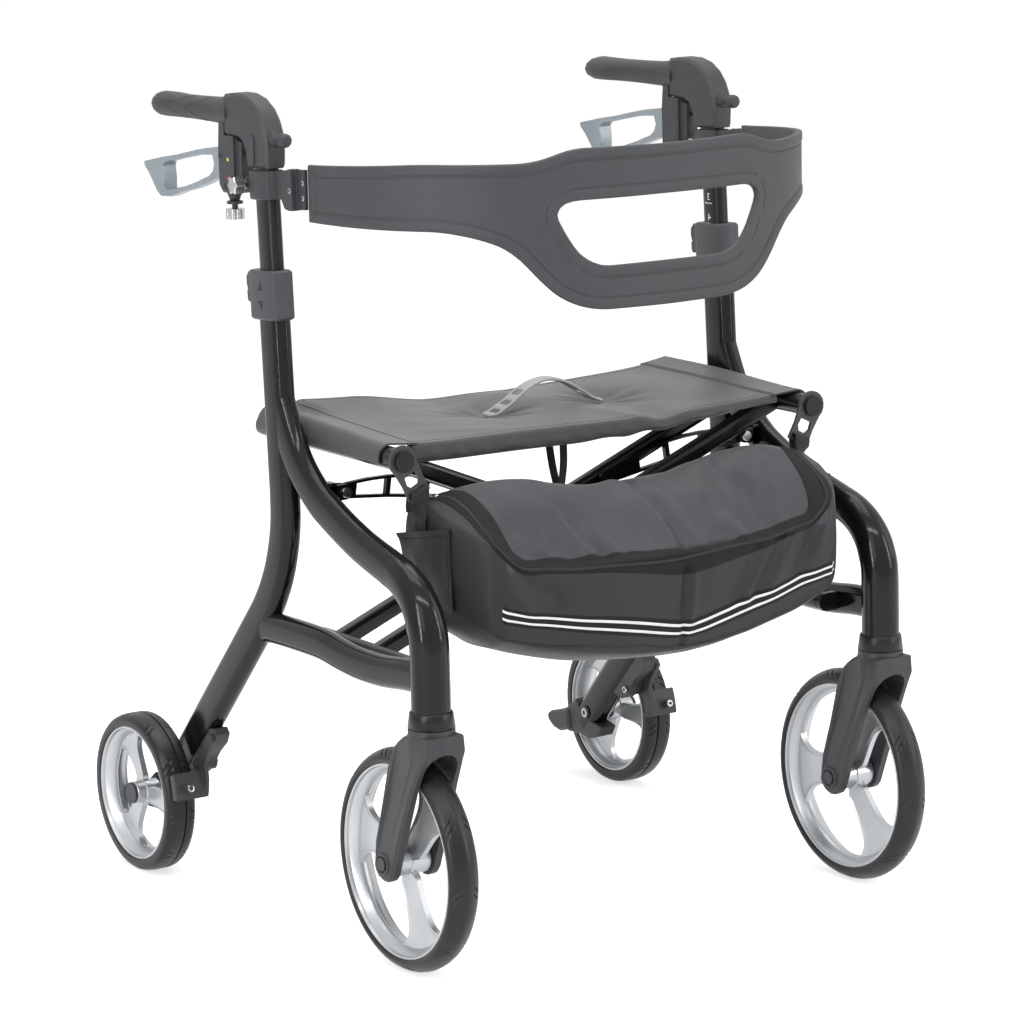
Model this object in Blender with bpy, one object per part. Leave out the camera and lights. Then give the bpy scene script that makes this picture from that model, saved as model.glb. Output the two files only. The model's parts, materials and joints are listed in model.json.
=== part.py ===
"""Bariatric rollator with a folding scissor cross-brace, as an assembly of separate pieces.

Metres, +Z up. The user walks behind it, at +Y, and the casters are in front, at -Y. The origin is on
the floor in the middle of the footprint. "right" is the user's right side, at -X.
"""
import math

import bmesh
import bpy
from mathutils import Matrix, Vector

for old in list(bpy.data.objects):
    bpy.data.objects.remove(old, do_unlink=True)

mm = 0.001
SEAT_GAP = 0.3 * mm          # gap between two pieces that touch
RUN_GAP = 0.4 * mm           # gap round a shaft that turns or slides

# Wheels
FRONT_RADIUS = 127 * mm      # 10 inch caster wheels set the scale of the whole object
REAR_RADIUS = 96.6 * mm
TUBE_STEPS = 10              # facets round a frame tube
WHEEL_STEPS = 32             # facets round a tyre, one of them flat on the floor
FRONT_TYRE_WIDTH = 37.2 * mm
REAR_TYRE_WIDTH = 38.4 * mm
FRONT_RIM_RADIUS = 110 * mm
REAR_RIM_RADIUS = 81 * mm
RIM_WALL = 3.2 * mm
FRONT_HUB_RADIUS = 18 * mm
REAR_HUB_RADIUS = 14 * mm
FRONT_HUB_HALF = 20.8 * mm
REAR_HUB_HALF = 16 * mm
REAR_CAP_RADIUS = 13 * mm
SPOKES = 3
SPOKE_THICKNESS = 7 * mm
FRONT_SPOKE_TURN = {"right": 10, "left": -7}     # degrees, where each wheel has come to rest
REAR_SPOKE_TURN = {"right": 63, "left": 60}
AXLE_RADIUS = 5 * mm
WHEELBASE = 544.8 * mm
REAR_AXLE_Y = 287.6 * mm
FRONT_AXLE_Y = REAR_AXLE_Y - WHEELBASE
FLAT = math.cos(math.pi / WHEEL_STEPS)
FRONT_AXLE_Z = FRONT_RADIUS * FLAT
REAR_AXLE_Z = REAR_RADIUS * FLAT

# Side frames
REAR_TRACK_X = 346.7 * mm    # middle plane of a rear wheel
WHEEL_OUT = 38 * mm          # a rear wheel stands this far outside its side frame
FRAME_X = REAR_TRACK_X - WHEEL_OUT     # middle plane of a side frame
GRIP_Z = 930 * mm            # middle of the hand grips, above the floor
TUBE_DEPTH = 45 * mm         # upright and rear leg, along the rollator
TUBE_WIDTH = 25 * mm         # upright and rear leg, across the rollator
LEG_DEPTH = 42 * mm
LEG_WIDTH = 26 * mm
HEAD_RADIUS = 22 * mm
CASTER_TRAIL = 56.3 * mm
SWIVEL_Y = FRONT_AXLE_Y - CASTER_TRAIL
LEG_PATTERN_Y = -313.5 * mm  # where the caster turns on the outlines of the front leg and the rail
HEAD_BOTTOM_Z = 288.3 * mm
HEAD_RING_TOP_Z = 307 * mm
HEAD_RING_TOP = 24 * mm      # radius of the headset ring at its top
HEAD_RING_LOW = 26.6 * mm
LUG_THICKNESS = 8 * mm
RAIL_HEIGHT = 37 * mm
RAIL_WIDTH = 25 * mm
LEAN = math.radians(3)       # the uprights lean back
UPRIGHT_FOOT_Z = 505 * mm    # where the straight upright begins
UPRIGHT_SHARE = 0.6          # how much of the height above its foot the upright takes, the post the rest
POST_AT_GRIP_Y = 14.1093 * mm     # the post's middle line, at the height of the grip
LEAN_Z = UPRIGHT_FOOT_Z + UPRIGHT_SHARE * (GRIP_Z - UPRIGHT_FOOT_Z)
LEAN_Y = POST_AT_GRIP_Y - (GRIP_Z - LEAN_Z) * math.tan(LEAN)
UPRIGHT_TOP_W = -15 * mm     # heights along the upright are measured from LEAN_Z
BORE_BOTTOM_W = UPRIGHT_FOOT_Z - 25 * mm - LEAN_Z

# Fork
FORK_HALF = 33 * mm
FORK_INNER = 21.5 * mm
FORK_TOP_Z = HEAD_BOTTOM_Z - SEAT_GAP
CROWN_RADIUS = 28.8 * mm
FORK_TAPER = 0.22            # how much narrower the crown is than the axle end

# Rear brake
BRAKE_PIVOT = (199 * mm, 143 * mm)
BRAKE_PIN_RADIUS = 4 * mm
BRACKET_HALF = 9.5 * mm
SHOE_CLEAR = 3 * mm          # between the shoe and the tyre with the brake off
SHOE_DEPTH = 11 * mm

# Height adjustment
POST_DEPTH = 35 * mm
POST_WIDTH = 20 * mm
POST_TOP_W = GRIP_Z - 32 * mm - LEAN_Z
POST_BOTTOM_W = BORE_BOTTOM_W + 80 * mm
CLAMP_TOP_W = -2.5 * mm
CLAMP_BOTTOM_W = -59 * mm
INNER_REACH = 14.4 * mm      # nothing on a side frame reaches further in, so the seat rails pass
CLAMP_FRONT_V = -29 * mm
CLAMP_BACK_V = 33 * mm
CLAMP_OUT = 17 * mm
CLAMP_LEVER_V = 38.5 * mm
CLAMP_LEVER_W = -36 * mm

# Cross-brace
PIVOT_IN = 28.4 * mm         # the cross-brace and the seat rails, from a side frame's middle plane
PIVOT_X = FRAME_X - PIVOT_IN
PIVOT_Z = 336 * mm
SEAT_RAIL_Z = 566.3 * mm
SEAT_RAIL_RADIUS = 12.7 * mm
SEAT_RAIL_FRONT_Y = -211 * mm
SEAT_RAIL_BACK_Y = 83 * mm
SLEEVE_RADIUS = 11 * mm
SLEEVE_FRONT_Y = -240 * mm
SLEEVE_BACK_Y = -42 * mm
ROD_RADIUS = 6 * mm
BRACE_HEIGHT = 20 * mm
BRACE_WIDTH = 19 * mm
BRACE_A_Y = (-69 * mm, -152 * mm)
BRACE_B_Y = (-101 * mm, -173 * mm)
BRACE_PIN_RADIUS = 4 * mm
LINK_INNER_S = 88 * mm       # from the middle of the cross-brace, along the upper half
LINK_HEIGHT = 176.7 * mm     # link pivot above the lower pivot
LINK_THICKNESS = 7 * mm
LINK_EYE = 8.5 * mm
LINK_RISE = 14 * mm          # how far the link's upper edge swells in the middle
LINK_PIN_RADIUS = 3.5 * mm
LINK_PIVOT_Z = PIVOT_Z + LINK_HEIGHT
BRACKET_EAR = 4 * mm
BRACE_SLOPE = math.atan2(SEAT_RAIL_Z - PIVOT_Z, 2 * PIVOT_X)
BRACE_MIDDLE_Z = (PIVOT_Z + SEAT_RAIL_Z) / 2
CAP_NECK_RADIUS = 9.6 * mm
CAP_RADIUS = 12 * mm
HANGER_THICKNESS = 4 * mm
HANGER_FRONT_Y = SEAT_RAIL_FRONT_Y - 7 * mm - HANGER_THICKNESS
HANGER_TURN = math.radians(27)

# Handles
GRIP_RADIUS = 15.6 * mm
GRIP_DROP = 2 * mm
COLLAR_RADIUS = 16.7 * mm
COLLAR_FRONT_Y = 76 * mm
COLLAR_BACK_Y = 102 * mm
GRIP_END_Y = 263 * mm
ARCH_WIDTH = 28 * mm
HOOK_Z = GRIP_Z - 24 * mm
LEVER_PIVOT_Y = 91 * mm
LEVER_PIVOT_Z = GRIP_Z - 52 * mm
LEVER_PIN_RADIUS = 3 * mm
LEVER_FLARE = (225 * mm, 262 * mm)     # where the loop widens to its rear bow
LEVER_BOW_HALF = 15 * mm
BRAKE_FRONT_Y = 66 * mm
BRAKE_BACK_Y = 100.5 * mm
BRAKE_LOW_Z = GRIP_Z - 92 * mm
BRAKE_HALF = 13 * mm
SLOT_HALF = 7 * mm
ADJUSTER_Y = 86 * mm

# Backrest bracket
BRACKET_HIGH_W = POST_TOP_W - 28 * mm
BRACKET_LOW_W = BRACKET_HIGH_W - 33 * mm
STAR_V = 31 * mm
STAR_W = BRACKET_HIGH_W - 16.5 * mm
STAR_LOBES = 6

# Seat, bag and backrest
SEAT_FRONT_Y = -194 * mm
SEAT_BACK_Y = 77 * mm
SEAT_SAG = 7.3 * mm
SEAT_REAR_LIFT = 6 * mm      # the sleeve stands off the rail towards the rear
SEAT_STATIONS = 8
CLOTH = 2.4 * mm
SLEEVE_STEP = 22.5
SLEEVE_IN = (SEAT_RAIL_RADIUS + SEAT_GAP) / math.cos(math.radians(SLEEVE_STEP / 2))
STRAP_X = (-66 * mm, 94 * mm)
STRAP_Y = -56 * mm
STRAP_WIDTH = 24 * mm
STRAP_THICKNESS = 3 * mm
STRAP_RISE = 18 * mm
STRAP_LIFT = 0.4 * mm        # between the strap's ends and the cloth
BAG_PATTERN = 258 * mm       # half the width that the bag's outlines are drawn for
BAG_HALF = PIVOT_X - 22.3 * mm
BAG_BACK_Y = -187 * mm
BAND_PATTERN = 302 * mm      # half the width that the backrest's edges are drawn for
BAND_HALF = FRAME_X - 6.7 * mm         # the backrest's outer face at the brackets
BAND_REACH = 276 * mm        # how far the backrest bows forward
BAND_THICKNESS = 9 * mm
BAND_BACK_Y = -57.85 * mm
BAND_START_Y = -67.6 * mm
BAND_BOW = 2.55              # squareness of the backrest's curve seen from above
BAND_STATIONS = 29

SIDES = (("right", -1), ("left", 1))

BLACK = (0.012, 0.012, 0.014, 1)
PLASTIC = (0.055, 0.058, 0.065, 1)
RUBBER = (0.03, 0.03, 0.032, 1)
SILVER = (0.62, 0.63, 0.65, 1)
LEVER_GREY = (0.42, 0.47, 0.50, 1)
CLOTH_BLACK = (0.03, 0.03, 0.034, 1)
STRAP_GREY = (0.6, 0.62, 0.63, 1)


# Making objects

def material(name, colour, roughness, metallic):
    """A Principled material, made once for each name."""
    made = bpy.data.materials.get(name)
    if made:
        return made
    made = bpy.data.materials.new(name)
    made.use_nodes = True
    shader = made.node_tree.nodes["Principled BSDF"]
    shader.inputs["Base Color"].default_value = colour
    shader.inputs["Roughness"].default_value = roughness
    shader.inputs["Metallic"].default_value = metallic
    return made


def tidy(bm, merge=1e-6):
    """Merge doubles and turn the faces outwards."""
    bmesh.ops.remove_doubles(bm, verts=bm.verts, dist=merge)
    bmesh.ops.dissolve_degenerate(bm, edges=bm.edges, dist=1e-7)
    bmesh.ops.recalc_face_normals(bm, faces=bm.faces)
    if bm.calc_volume(signed=True) < 0:
        bmesh.ops.reverse_faces(bm, faces=bm.faces)
    return bm


def add_object(name, bm, look, origin=(0, 0, 0), smooth=40):
    """A named object whose origin is at a world point, from a bmesh in world coordinates."""
    tidy(bm)
    bmesh.ops.translate(bm, verts=bm.verts, vec=-Vector(origin))
    mesh = bpy.data.meshes.new(name)
    bm.to_mesh(mesh)
    bm.free()
    mesh.shade_smooth()
    mesh.set_sharp_from_angle(angle=math.radians(smooth))
    mesh.materials.append(material(name + "_finish", *look))
    made = bpy.data.objects.new(name, mesh)
    made.location = origin
    bpy.context.collection.objects.link(made)
    return made


def combined(bm, other, operation):
    """The union or difference of two closed meshes, by Blender's exact solver."""
    pair = []
    for label, source in (("base", bm), ("tool", other)):
        tidy(source)
        mesh = bpy.data.meshes.new(label)
        source.to_mesh(mesh)
        source.free()
        made = bpy.data.objects.new(label, mesh)
        bpy.context.collection.objects.link(made)
        pair.append(made)
    modifier = pair[0].modifiers.new("combine", "BOOLEAN")
    modifier.operation = operation
    modifier.solver = "EXACT"
    modifier.object = pair[1]
    bpy.context.view_layer.update()
    graph = bpy.context.evaluated_depsgraph_get()
    mesh = bpy.data.meshes.new_from_object(pair[0].evaluated_get(graph))
    result = bmesh.new()
    result.from_mesh(mesh)
    bpy.data.meshes.remove(mesh)
    for made in pair:
        leftover = made.data
        bpy.data.objects.remove(made, do_unlink=True)
        bpy.data.meshes.remove(leftover)
    return tidy(result)


def union(bm, *others):
    for other in others:
        bm = combined(bm, other, "UNION")
    return bm


def cut(bm, *others):
    for other in others:
        bm = combined(bm, other, "DIFFERENCE")
    return bm


# Shapes

def loft(rings):
    """A closed solid through rings that have the same number of points."""
    bm = bmesh.new()
    rows = [[bm.verts.new(point) for point in ring] for ring in rings]
    count = len(rows[0])
    for low, high in zip(rows, rows[1:]):
        for i in range(count):
            j = (i + 1) % count
            bm.faces.new((low[i], low[j], high[j], high[i]))
    bm.faces.new(rows[0][::-1])
    bm.faces.new(rows[-1])
    return tidy(bm)


def closed_loft(rings):
    """A ring-shaped solid: the last section joins the first."""
    bm = bmesh.new()
    rows = [[bm.verts.new(point) for point in ring] for ring in rings]
    count = len(rows[0])
    for low, high in zip(rows, rows[1:] + rows[:1]):
        for i in range(count):
            j = (i + 1) % count
            bm.faces.new((low[i], low[j], high[j], high[i]))
    return tidy(bm)


def stadium(half_long, half_short, steps=12):
    """Points of a section with two straight sides and two round ends, (long, short)."""
    straight = half_long - half_short
    points = []
    for sign, start in ((1, -0.5), (-1, 0.5)):
        for i in range(steps // 2 + 1):
            angle = math.pi * (start + 2 * i / steps)
            points.append((half_short * math.cos(angle) + sign * straight, half_short * math.sin(angle)))
    return points


def smooth_path(points, spans=2):
    """Points along a smooth curve that passes through the given ones."""
    vectors = [Vector(p) for p in points]
    ends = [2 * vectors[0] - vectors[1]] + vectors + [2 * vectors[-1] - vectors[-2]]
    path = []
    for a, b, c, d in zip(ends, ends[1:], ends[2:], ends[3:]):
        for i in range(spans):
            t = i / spans
            path.append(0.5 * ((2 * b) + (c - a) * t + (2 * a - 5 * b + 4 * c - d) * t ** 2
                               + (3 * b - a - 3 * c + d) * t ** 3))
    path.append(vectors[-1])
    return path


def swept_frame_tube(path, halves, side, grow=0.0, steps=TUBE_STEPS):
    """A tube in a side frame's plane. halves(t) gives half the depth and half the width."""
    rings = []
    last = len(path) - 1
    path = [path[0] + (path[0] - path[1]).normalized() * grow, *path[1:-1],
            path[-1] + (path[-1] - path[-2]).normalized() * grow]
    for i, point in enumerate(path):
        tangent = (path[min(i + 1, last)] - path[max(i - 1, 0)]).normalized()
        across = Vector((-tangent.y, tangent.x))
        depth, width = halves(i / last)
        ring = []
        for a, b in stadium(depth + grow, width + grow, steps):
            place = point + across * a
            ring.append((side * FRAME_X + b, place.x, place.y))
        rings.append(ring)
    return loft(rings)


def prism(outline, low, high, place, holes=(), rounding=0.0, segments=1):
    """An outline with holes, given a thickness. place(a, b, h) gives the world point."""
    bm = bmesh.new()
    if holes:
        edges = []
        for loop in (outline, *holes):
            verts = [bm.verts.new(place(a, b, low)) for a, b in loop]
            edges += [bm.edges.new((verts[i], verts[(i + 1) % len(verts)])) for i in range(len(verts))]
        bmesh.ops.triangle_fill(bm, edges=edges, use_beauty=True, use_dissolve=False)
    else:
        bm.faces.new([bm.verts.new(place(a, b, low)) for a, b in outline])
    made = bmesh.ops.extrude_face_region(bm, geom=bm.faces[:])
    moved = [v for v in made["geom"] if isinstance(v, bmesh.types.BMVert)]
    shift = Vector(place(0, 0, high)) - Vector(place(0, 0, low))
    bmesh.ops.translate(bm, verts=moved, vec=shift)
    tidy(bm)
    if rounding:
        normal = shift.normalized()
        caps = [f for f in bm.faces if abs(f.normal.dot(normal)) > 0.99]
        inner = set(caps)
        rims = {e for f in caps for e in f.edges if not all(g in inner for g in e.link_faces)}
        bmesh.ops.bevel(bm, geom=list(rims), offset=rounding, offset_type="OFFSET", segments=segments,
                        profile=0.5, affect="EDGES", material=-1, clamp_overlap=True)
    return tidy(bm)


def along_x(side, base=FRAME_X):
    """Outlines seen from the side: a is Y, b is Z, h is measured outboard of the base plane."""
    return lambda a, b, h: (side * (base + h), a, b)


def leaned(side):
    """A place by u outboard, v to the rear and w up along the leaning upright."""
    def place(u, v, w):
        y = LEAN_Y + v * math.cos(LEAN) + w * math.sin(LEAN)
        z = LEAN_Z - v * math.sin(LEAN) + w * math.cos(LEAN)
        return (side * (FRAME_X + u), y, z)
    return place


def leaned_block(side, outline, low, high, holes=(), rounding=0.0):
    """A solid whose outline (v, u) is seen along the leaning upright."""
    place = leaned(side)
    return prism(outline, low, high, lambda a, b, h: place(b, a, h), holes, rounding)


def leaned_plate(side, outline, low, high, holes=(), rounding=0.0):
    """A solid whose outline (v, w) is seen from the side."""
    place = leaned(side)
    return prism(outline, low, high, lambda a, b, h: place(h, a, b), holes, rounding)


def rod(start, end, radius, steps=10):
    """A round bar between two points."""
    start, end = Vector(start), Vector(end)
    bm = bmesh.new()
    turn = (end - start).to_track_quat("Z", "Y").to_matrix().to_4x4()
    where = Matrix.Translation((start + end) / 2) @ turn @ Matrix.Rotation(math.pi / steps, 4, "Z")
    bmesh.ops.create_cone(bm, cap_ends=True, segments=steps, radius1=radius, radius2=radius,
                          depth=(end - start).length, matrix=where)
    return bm


def round_sweep(path, radius, steps):
    """A round cord along a path."""
    rings = []
    last = len(path) - 1
    for i, point in enumerate(path):
        ahead = (path[min(i + 1, last)] - path[max(i - 1, 0)]).normalized()
        side = ahead.cross(Vector((1, 0, 0))).normalized()
        up = side.cross(ahead)
        rings.append([point + side * radius * math.cos(math.tau * k / steps)
                      + up * radius * math.sin(math.tau * k / steps) for k in range(steps)])
    return loft(rings)


def turned(profile, centre, axis, steps, turn=0.0):
    """A profile of (radius, along) points spun round an axis. A closed ring if it starts off axis."""
    axis = Vector(axis)
    across = axis.orthogonal().normalized()
    across.rotate(Matrix.Rotation(turn, 3, axis))
    rings = []
    for i in range(steps):
        arm = across.copy()
        arm.rotate(Matrix.Rotation(2 * math.pi * i / steps, 3, axis))
        rings.append([Vector(centre) + arm * radius + axis * along for radius, along in profile])
    solid = closed_loft(rings) if profile[0][0] > 0 else None
    if solid:
        return solid
    bm = bmesh.new()
    rows = [[bm.verts.new(point) for point in ring] for ring in rings]
    for low, high in zip(rows, rows[1:] + rows[:1]):
        for i in range(len(profile) - 1):
            bm.faces.new((low[i], low[i + 1], high[i + 1], high[i]))
    return tidy(bm)


def arc(centre, radius, start, end, steps):
    """Points on an arc, angles in degrees."""
    points = []
    for i in range(steps + 1):
        angle = math.radians(start + (end - start) * i / steps)
        points.append((centre[0] + radius * math.cos(angle), centre[1] + radius * math.sin(angle)))
    return points


def ease(value, low, high):
    """0 below low, 1 above high, and a smooth rise between."""
    t = min(1.0, max(0.0, (value - low) / (high - low)))
    return t * t * (3 - 2 * t)


def outline_mm(points, base=0.0, start=0.0):
    """Points typed in millimetres, measured from start along and from base in height."""
    return [(start + a * mm, base + b * mm) for a, b in points]


def stretched(points):
    """Points drawn for LEG_PATTERN_Y, stretched along to where the caster turns."""
    return [(a * SWIVEL_Y / LEG_PATTERN_Y, b) for a, b in outline_mm(points)]


def rounded_box(half_a, half_b, radius, centre=(0, 0), steps=3):
    """A rounded rectangle's outline."""
    points = []
    for sa, sb, start in ((1, 1, 0), (-1, 1, 90), (-1, -1, 180), (1, -1, 270)):
        corner = (centre[0] + sa * (half_a - radius), centre[1] + sb * (half_b - radius))
        points += arc(corner, radius, start, start + 90, steps)
    return points


# Side frame tubes

def upright_y(z):
    return LEAN_Y + (z - LEAN_Z) * math.tan(LEAN)


REAR_LEG_END = Vector((REAR_AXLE_Y + 14 * mm, REAR_AXLE_Z - 15.5 * mm))


def rear_leg_path():
    top = LEAN_Z + UPRIGHT_TOP_W
    straight = [(upright_y(z), z) for z in (top, UPRIGHT_FOOT_Z)]
    bend = [(-7.4 * mm, 470 * mm), (-1 * mm, 438 * mm), (13 * mm, 402 * mm), (38 * mm, 363 * mm),
            (79 * mm, 318 * mm)]
    axle = [(REAR_AXLE_Y - 63.6 * mm, REAR_AXLE_Z + 69 * mm)]
    curve = smooth_path([straight[-1], *bend, *axle, tuple(REAR_LEG_END)], 2)
    return [*[Vector(p) for p in straight[:-1]], *curve]


def rear_leg_solid(side, grow=0.0):
    return swept_frame_tube(rear_leg_path(), lambda t: (TUBE_DEPTH / 2, TUBE_WIDTH / 2), side, grow)


def front_leg_path():
    head = [(SWIVEL_Y, 340 * mm), (SWIVEL_Y, HEAD_RING_TOP_Z - 4 * mm)]
    root = (upright_y(612 * mm) - 0.4436 * mm, 612 * mm)
    shape = stretched([(-28, 563), (-50, 535), (-78, 512), (-106, 496), (-171, 470), (-235, 452.5),
                       (-262, 444.5), (-283, 433), (-299, 417), (-308, 399), (-312.5, 380)])
    return smooth_path([root, *shape, *head], 1)


def front_leg_halves(t):
    """The leg swells from a flat oval at the upright to a round head."""
    swell = min(1.0, max(0.0, (t - 0.3) / 0.5))
    swell = swell * swell * (3 - 2 * swell)
    depth = LEG_DEPTH / 2 + swell * (HEAD_RADIUS - LEG_DEPTH / 2)
    width = LEG_WIDTH / 2 - 0.6 * mm + swell * (HEAD_RADIUS - LEG_WIDTH / 2 + 0.5 * mm)
    return depth, width


def front_leg_solid(side, grow=0.0):
    return swept_frame_tube(front_leg_path(), front_leg_halves, side, grow)


def head_ring(side):
    """The headset ring at the leg's lower end, which the fork turns under."""
    outline = [(0, HEAD_BOTTOM_Z), (HEAD_RING_LOW, HEAD_BOTTOM_Z), (HEAD_RING_TOP, HEAD_RING_TOP_Z),
               (0, HEAD_RING_TOP_Z)]
    return turned(outline, (side * FRAME_X, SWIVEL_Y, 0), (0, 0, 1), 16)


def side_rail_solid(side):
    points = [(54, 335), (20, 339), (-76, 340), (-125, 335), (-167, 332), (-215, 333), (-262, 338),
              (-304, 341)]
    path = smooth_path(stretched(points), 1)
    return swept_frame_tube(path, lambda t: (RAIL_HEIGHT / 2, RAIL_WIDTH / 2), side)


def post_section(grow=0.0):
    return stadium(POST_DEPTH / 2 + grow, POST_WIDTH / 2 + grow)


def make_side_frame(name, side):
    bore = leaned_block(side, post_section(RUN_GAP), BORE_BOTTOM_W, UPRIGHT_TOP_W + 5 * mm)
    x_in = side * (FRAME_X - 30 * mm)
    x_out = side * (FRAME_X + 30 * mm)
    axle_hole = rod((x_in, REAR_AXLE_Y, REAR_AXLE_Z), (x_out, REAR_AXLE_Y, REAR_AXLE_Z),
                    AXLE_RADIUS + SEAT_GAP)
    leg = cut(rear_leg_solid(side), bore, axle_hole)
    add_object(name + "_rear_leg", leg, (BLACK, 0.18, 0.0))

    front = union(front_leg_solid(side), head_ring(side), *link_clevis(side))
    front = cut(front, rear_leg_solid(side, SEAT_GAP))
    add_object(name + "_front_leg", front, (BLACK, 0.18, 0.0))

    rail = cut(side_rail_solid(side), rear_leg_solid(side, SEAT_GAP), front_leg_solid(side, SEAT_GAP))
    add_object(name + "_side_rail", rail, (BLACK, 0.18, 0.0))


# Lower pivot and link bracket on the side frame

def make_pivot_rod(name, side):
    """A rod between two lugs on the side rail. The cross-brace's sleeve turns on it."""
    front = SLEEVE_FRONT_Y - SEAT_GAP
    back = SLEEVE_BACK_Y + SEAT_GAP
    x = side * PIVOT_X
    solid = rod((x, front - LUG_THICKNESS / 2, PIVOT_Z), (x, back + LUG_THICKNESS / 2, PIVOT_Z), ROD_RADIUS)
    reach = FRAME_X - PIVOT_X - RAIL_WIDTH / 2 - SEAT_GAP
    outline = arc((0, 0), SLEEVE_RADIUS, 90, 270, 6) + [(reach, -SLEEVE_RADIUS), (reach, SLEEVE_RADIUS)]
    for low in (front - LUG_THICKNESS, back):
        lug = prism(outline, low, low + LUG_THICKNESS, lambda a, b, h: (side * (PIVOT_X + a), h, PIVOT_Z + b))
        solid = union(solid, lug)
    add_object(name + "_pivot_rod", solid, (BLACK, 0.3, 0.0))


def link_y(side):
    """The near face to the tube that carries the link's inner end, and the far face."""
    if side < 0:
        face = BRACE_B_Y[0] + BRACE_WIDTH / 2 + SEAT_GAP
        return face, face + LINK_THICKNESS
    face = BRACE_A_Y[0] - BRACE_WIDTH / 2 - SEAT_GAP
    return face - LINK_THICKNESS, face


def link_clevis(side):
    """Two ears and a base welded to the front leg's inner face, with the pin that the truss link turns on."""
    low, high = link_y(side)
    low -= RUN_GAP
    high += RUN_GAP
    x = side * PIVOT_X
    ear = arc((0, 0), 9 * mm, 90, 270, 5) + [(20 * mm, -9 * mm), (20 * mm, 9 * mm)]
    base = [(10.5 * mm, -12 * mm), (20 * mm, -12 * mm), (20 * mm, 12 * mm), (10.5 * mm, 12 * mm)]
    place = lambda a, b, h: (side * (PIVOT_X + a), h, LINK_PIVOT_Z + b)
    pin = rod((x, low - BRACKET_EAR - 3 * mm, LINK_PIVOT_Z), (x, high + BRACKET_EAR + 2 * mm, LINK_PIVOT_Z),
              LINK_PIN_RADIUS, 10)
    return [prism(ear, low - BRACKET_EAR, low, place), prism(ear, high, high + BRACKET_EAR, place),
            prism(base, low - BRACKET_EAR, high + BRACKET_EAR, place), pin]


# Height clamp, its lever and the sliding post

def clamp_outline():
    middle = (CLAMP_FRONT_V + CLAMP_BACK_V) / 2
    across = (CLAMP_OUT - INNER_REACH) / 2
    return rounded_box((CLAMP_BACK_V - CLAMP_FRONT_V) / 2, (CLAMP_OUT + INNER_REACH) / 2, 11 * mm,
                       (middle, across), 2)


def arrow(tip, height, half):
    """A small triangular recess that shows which way the clamp opens."""
    return [(0, tip), (-half, tip - height), (half, tip - height)]


def make_clamp(name, side):
    body = leaned_block(side, clamp_outline(), CLAMP_BOTTOM_W, CLAMP_TOP_W, rounding=2.5 * mm)
    inner = stadium(TUBE_DEPTH / 2 + SEAT_GAP, TUBE_WIDTH / 2 + SEAT_GAP, TUBE_STEPS)
    lower = leaned_block(side, inner, CLAMP_BOTTOM_W - 5 * mm, UPRIGHT_TOP_W + SEAT_GAP)
    upper = leaned_block(side, post_section(RUN_GAP), UPRIGHT_TOP_W - 5 * mm, CLAMP_TOP_W + 5 * mm)
    up = leaned_plate(side, arrow(-14 * mm, 11 * mm, 5 * mm), CLAMP_OUT - 1.2 * mm, CLAMP_OUT + 2 * mm)
    down = leaned_plate(side, arrow(-48 * mm, -11 * mm, 5 * mm), CLAMP_OUT - 1.2 * mm, CLAMP_OUT + 2 * mm)
    body = cut(body, lower, upper, up, down)
    ear = leaned_plate(side, arc((CLAMP_LEVER_V, CLAMP_LEVER_W), 5 * mm, -90, 90, 6)
                       + [(CLAMP_BACK_V - 4 * mm, CLAMP_LEVER_W + 5 * mm),
                          (CLAMP_BACK_V - 4 * mm, CLAMP_LEVER_W - 19 * mm),
                          (CLAMP_LEVER_V, CLAMP_LEVER_W - 17 * mm)],
                       -4 * mm, 6 * mm)
    body = union(body, ear)
    add_object(name + "_height_clamp", body, (PLASTIC, 0.45, 0.0))

    place = leaned(side)
    pivot = place(0, CLAMP_LEVER_V, CLAMP_LEVER_W)
    back = CLAMP_BACK_V
    pad = [(back + 0.6 * mm, CLAMP_LEVER_W + 5.8 * mm), (back + 0.6 * mm, CLAMP_TOP_W - 4 * mm),
           (back + 5 * mm, CLAMP_TOP_W - 2 * mm), (back + 11 * mm, CLAMP_TOP_W - 8 * mm),
           (back + 11.5 * mm, CLAMP_TOP_W - 17 * mm), (back + 8 * mm, CLAMP_LEVER_W + 6 * mm)]
    lever = leaned_plate(side, pad, -8 * mm, 10 * mm, rounding=1.2 * mm)
    for low, high in ((-8 * mm, -4.4 * mm), (6.4 * mm, 10 * mm)):
        cheek = arc((CLAMP_LEVER_V, CLAMP_LEVER_W), 4.6 * mm, 180, 360, 5)
        cheek += [(CLAMP_LEVER_V + 4.6 * mm, CLAMP_LEVER_W + 9 * mm),
                  (CLAMP_LEVER_V - 4.6 * mm, CLAMP_LEVER_W + 9 * mm)]
        lever = union(lever, leaned_plate(side, cheek, low, high))
    add_object(name + "_clamp_lever", lever, (PLASTIC, 0.4, 0.0), pivot)


def make_post(name, side):
    place = leaned(side)
    solid = leaned_block(side, post_section(), POST_BOTTOM_W, POST_TOP_W)
    return add_object(name + "_height_post", solid, (BLACK, 0.3, 0.0), place(0, 0, 0))


# Handle: arch housing with hook, grip, brake housing, lever, adjuster, cable

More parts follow.
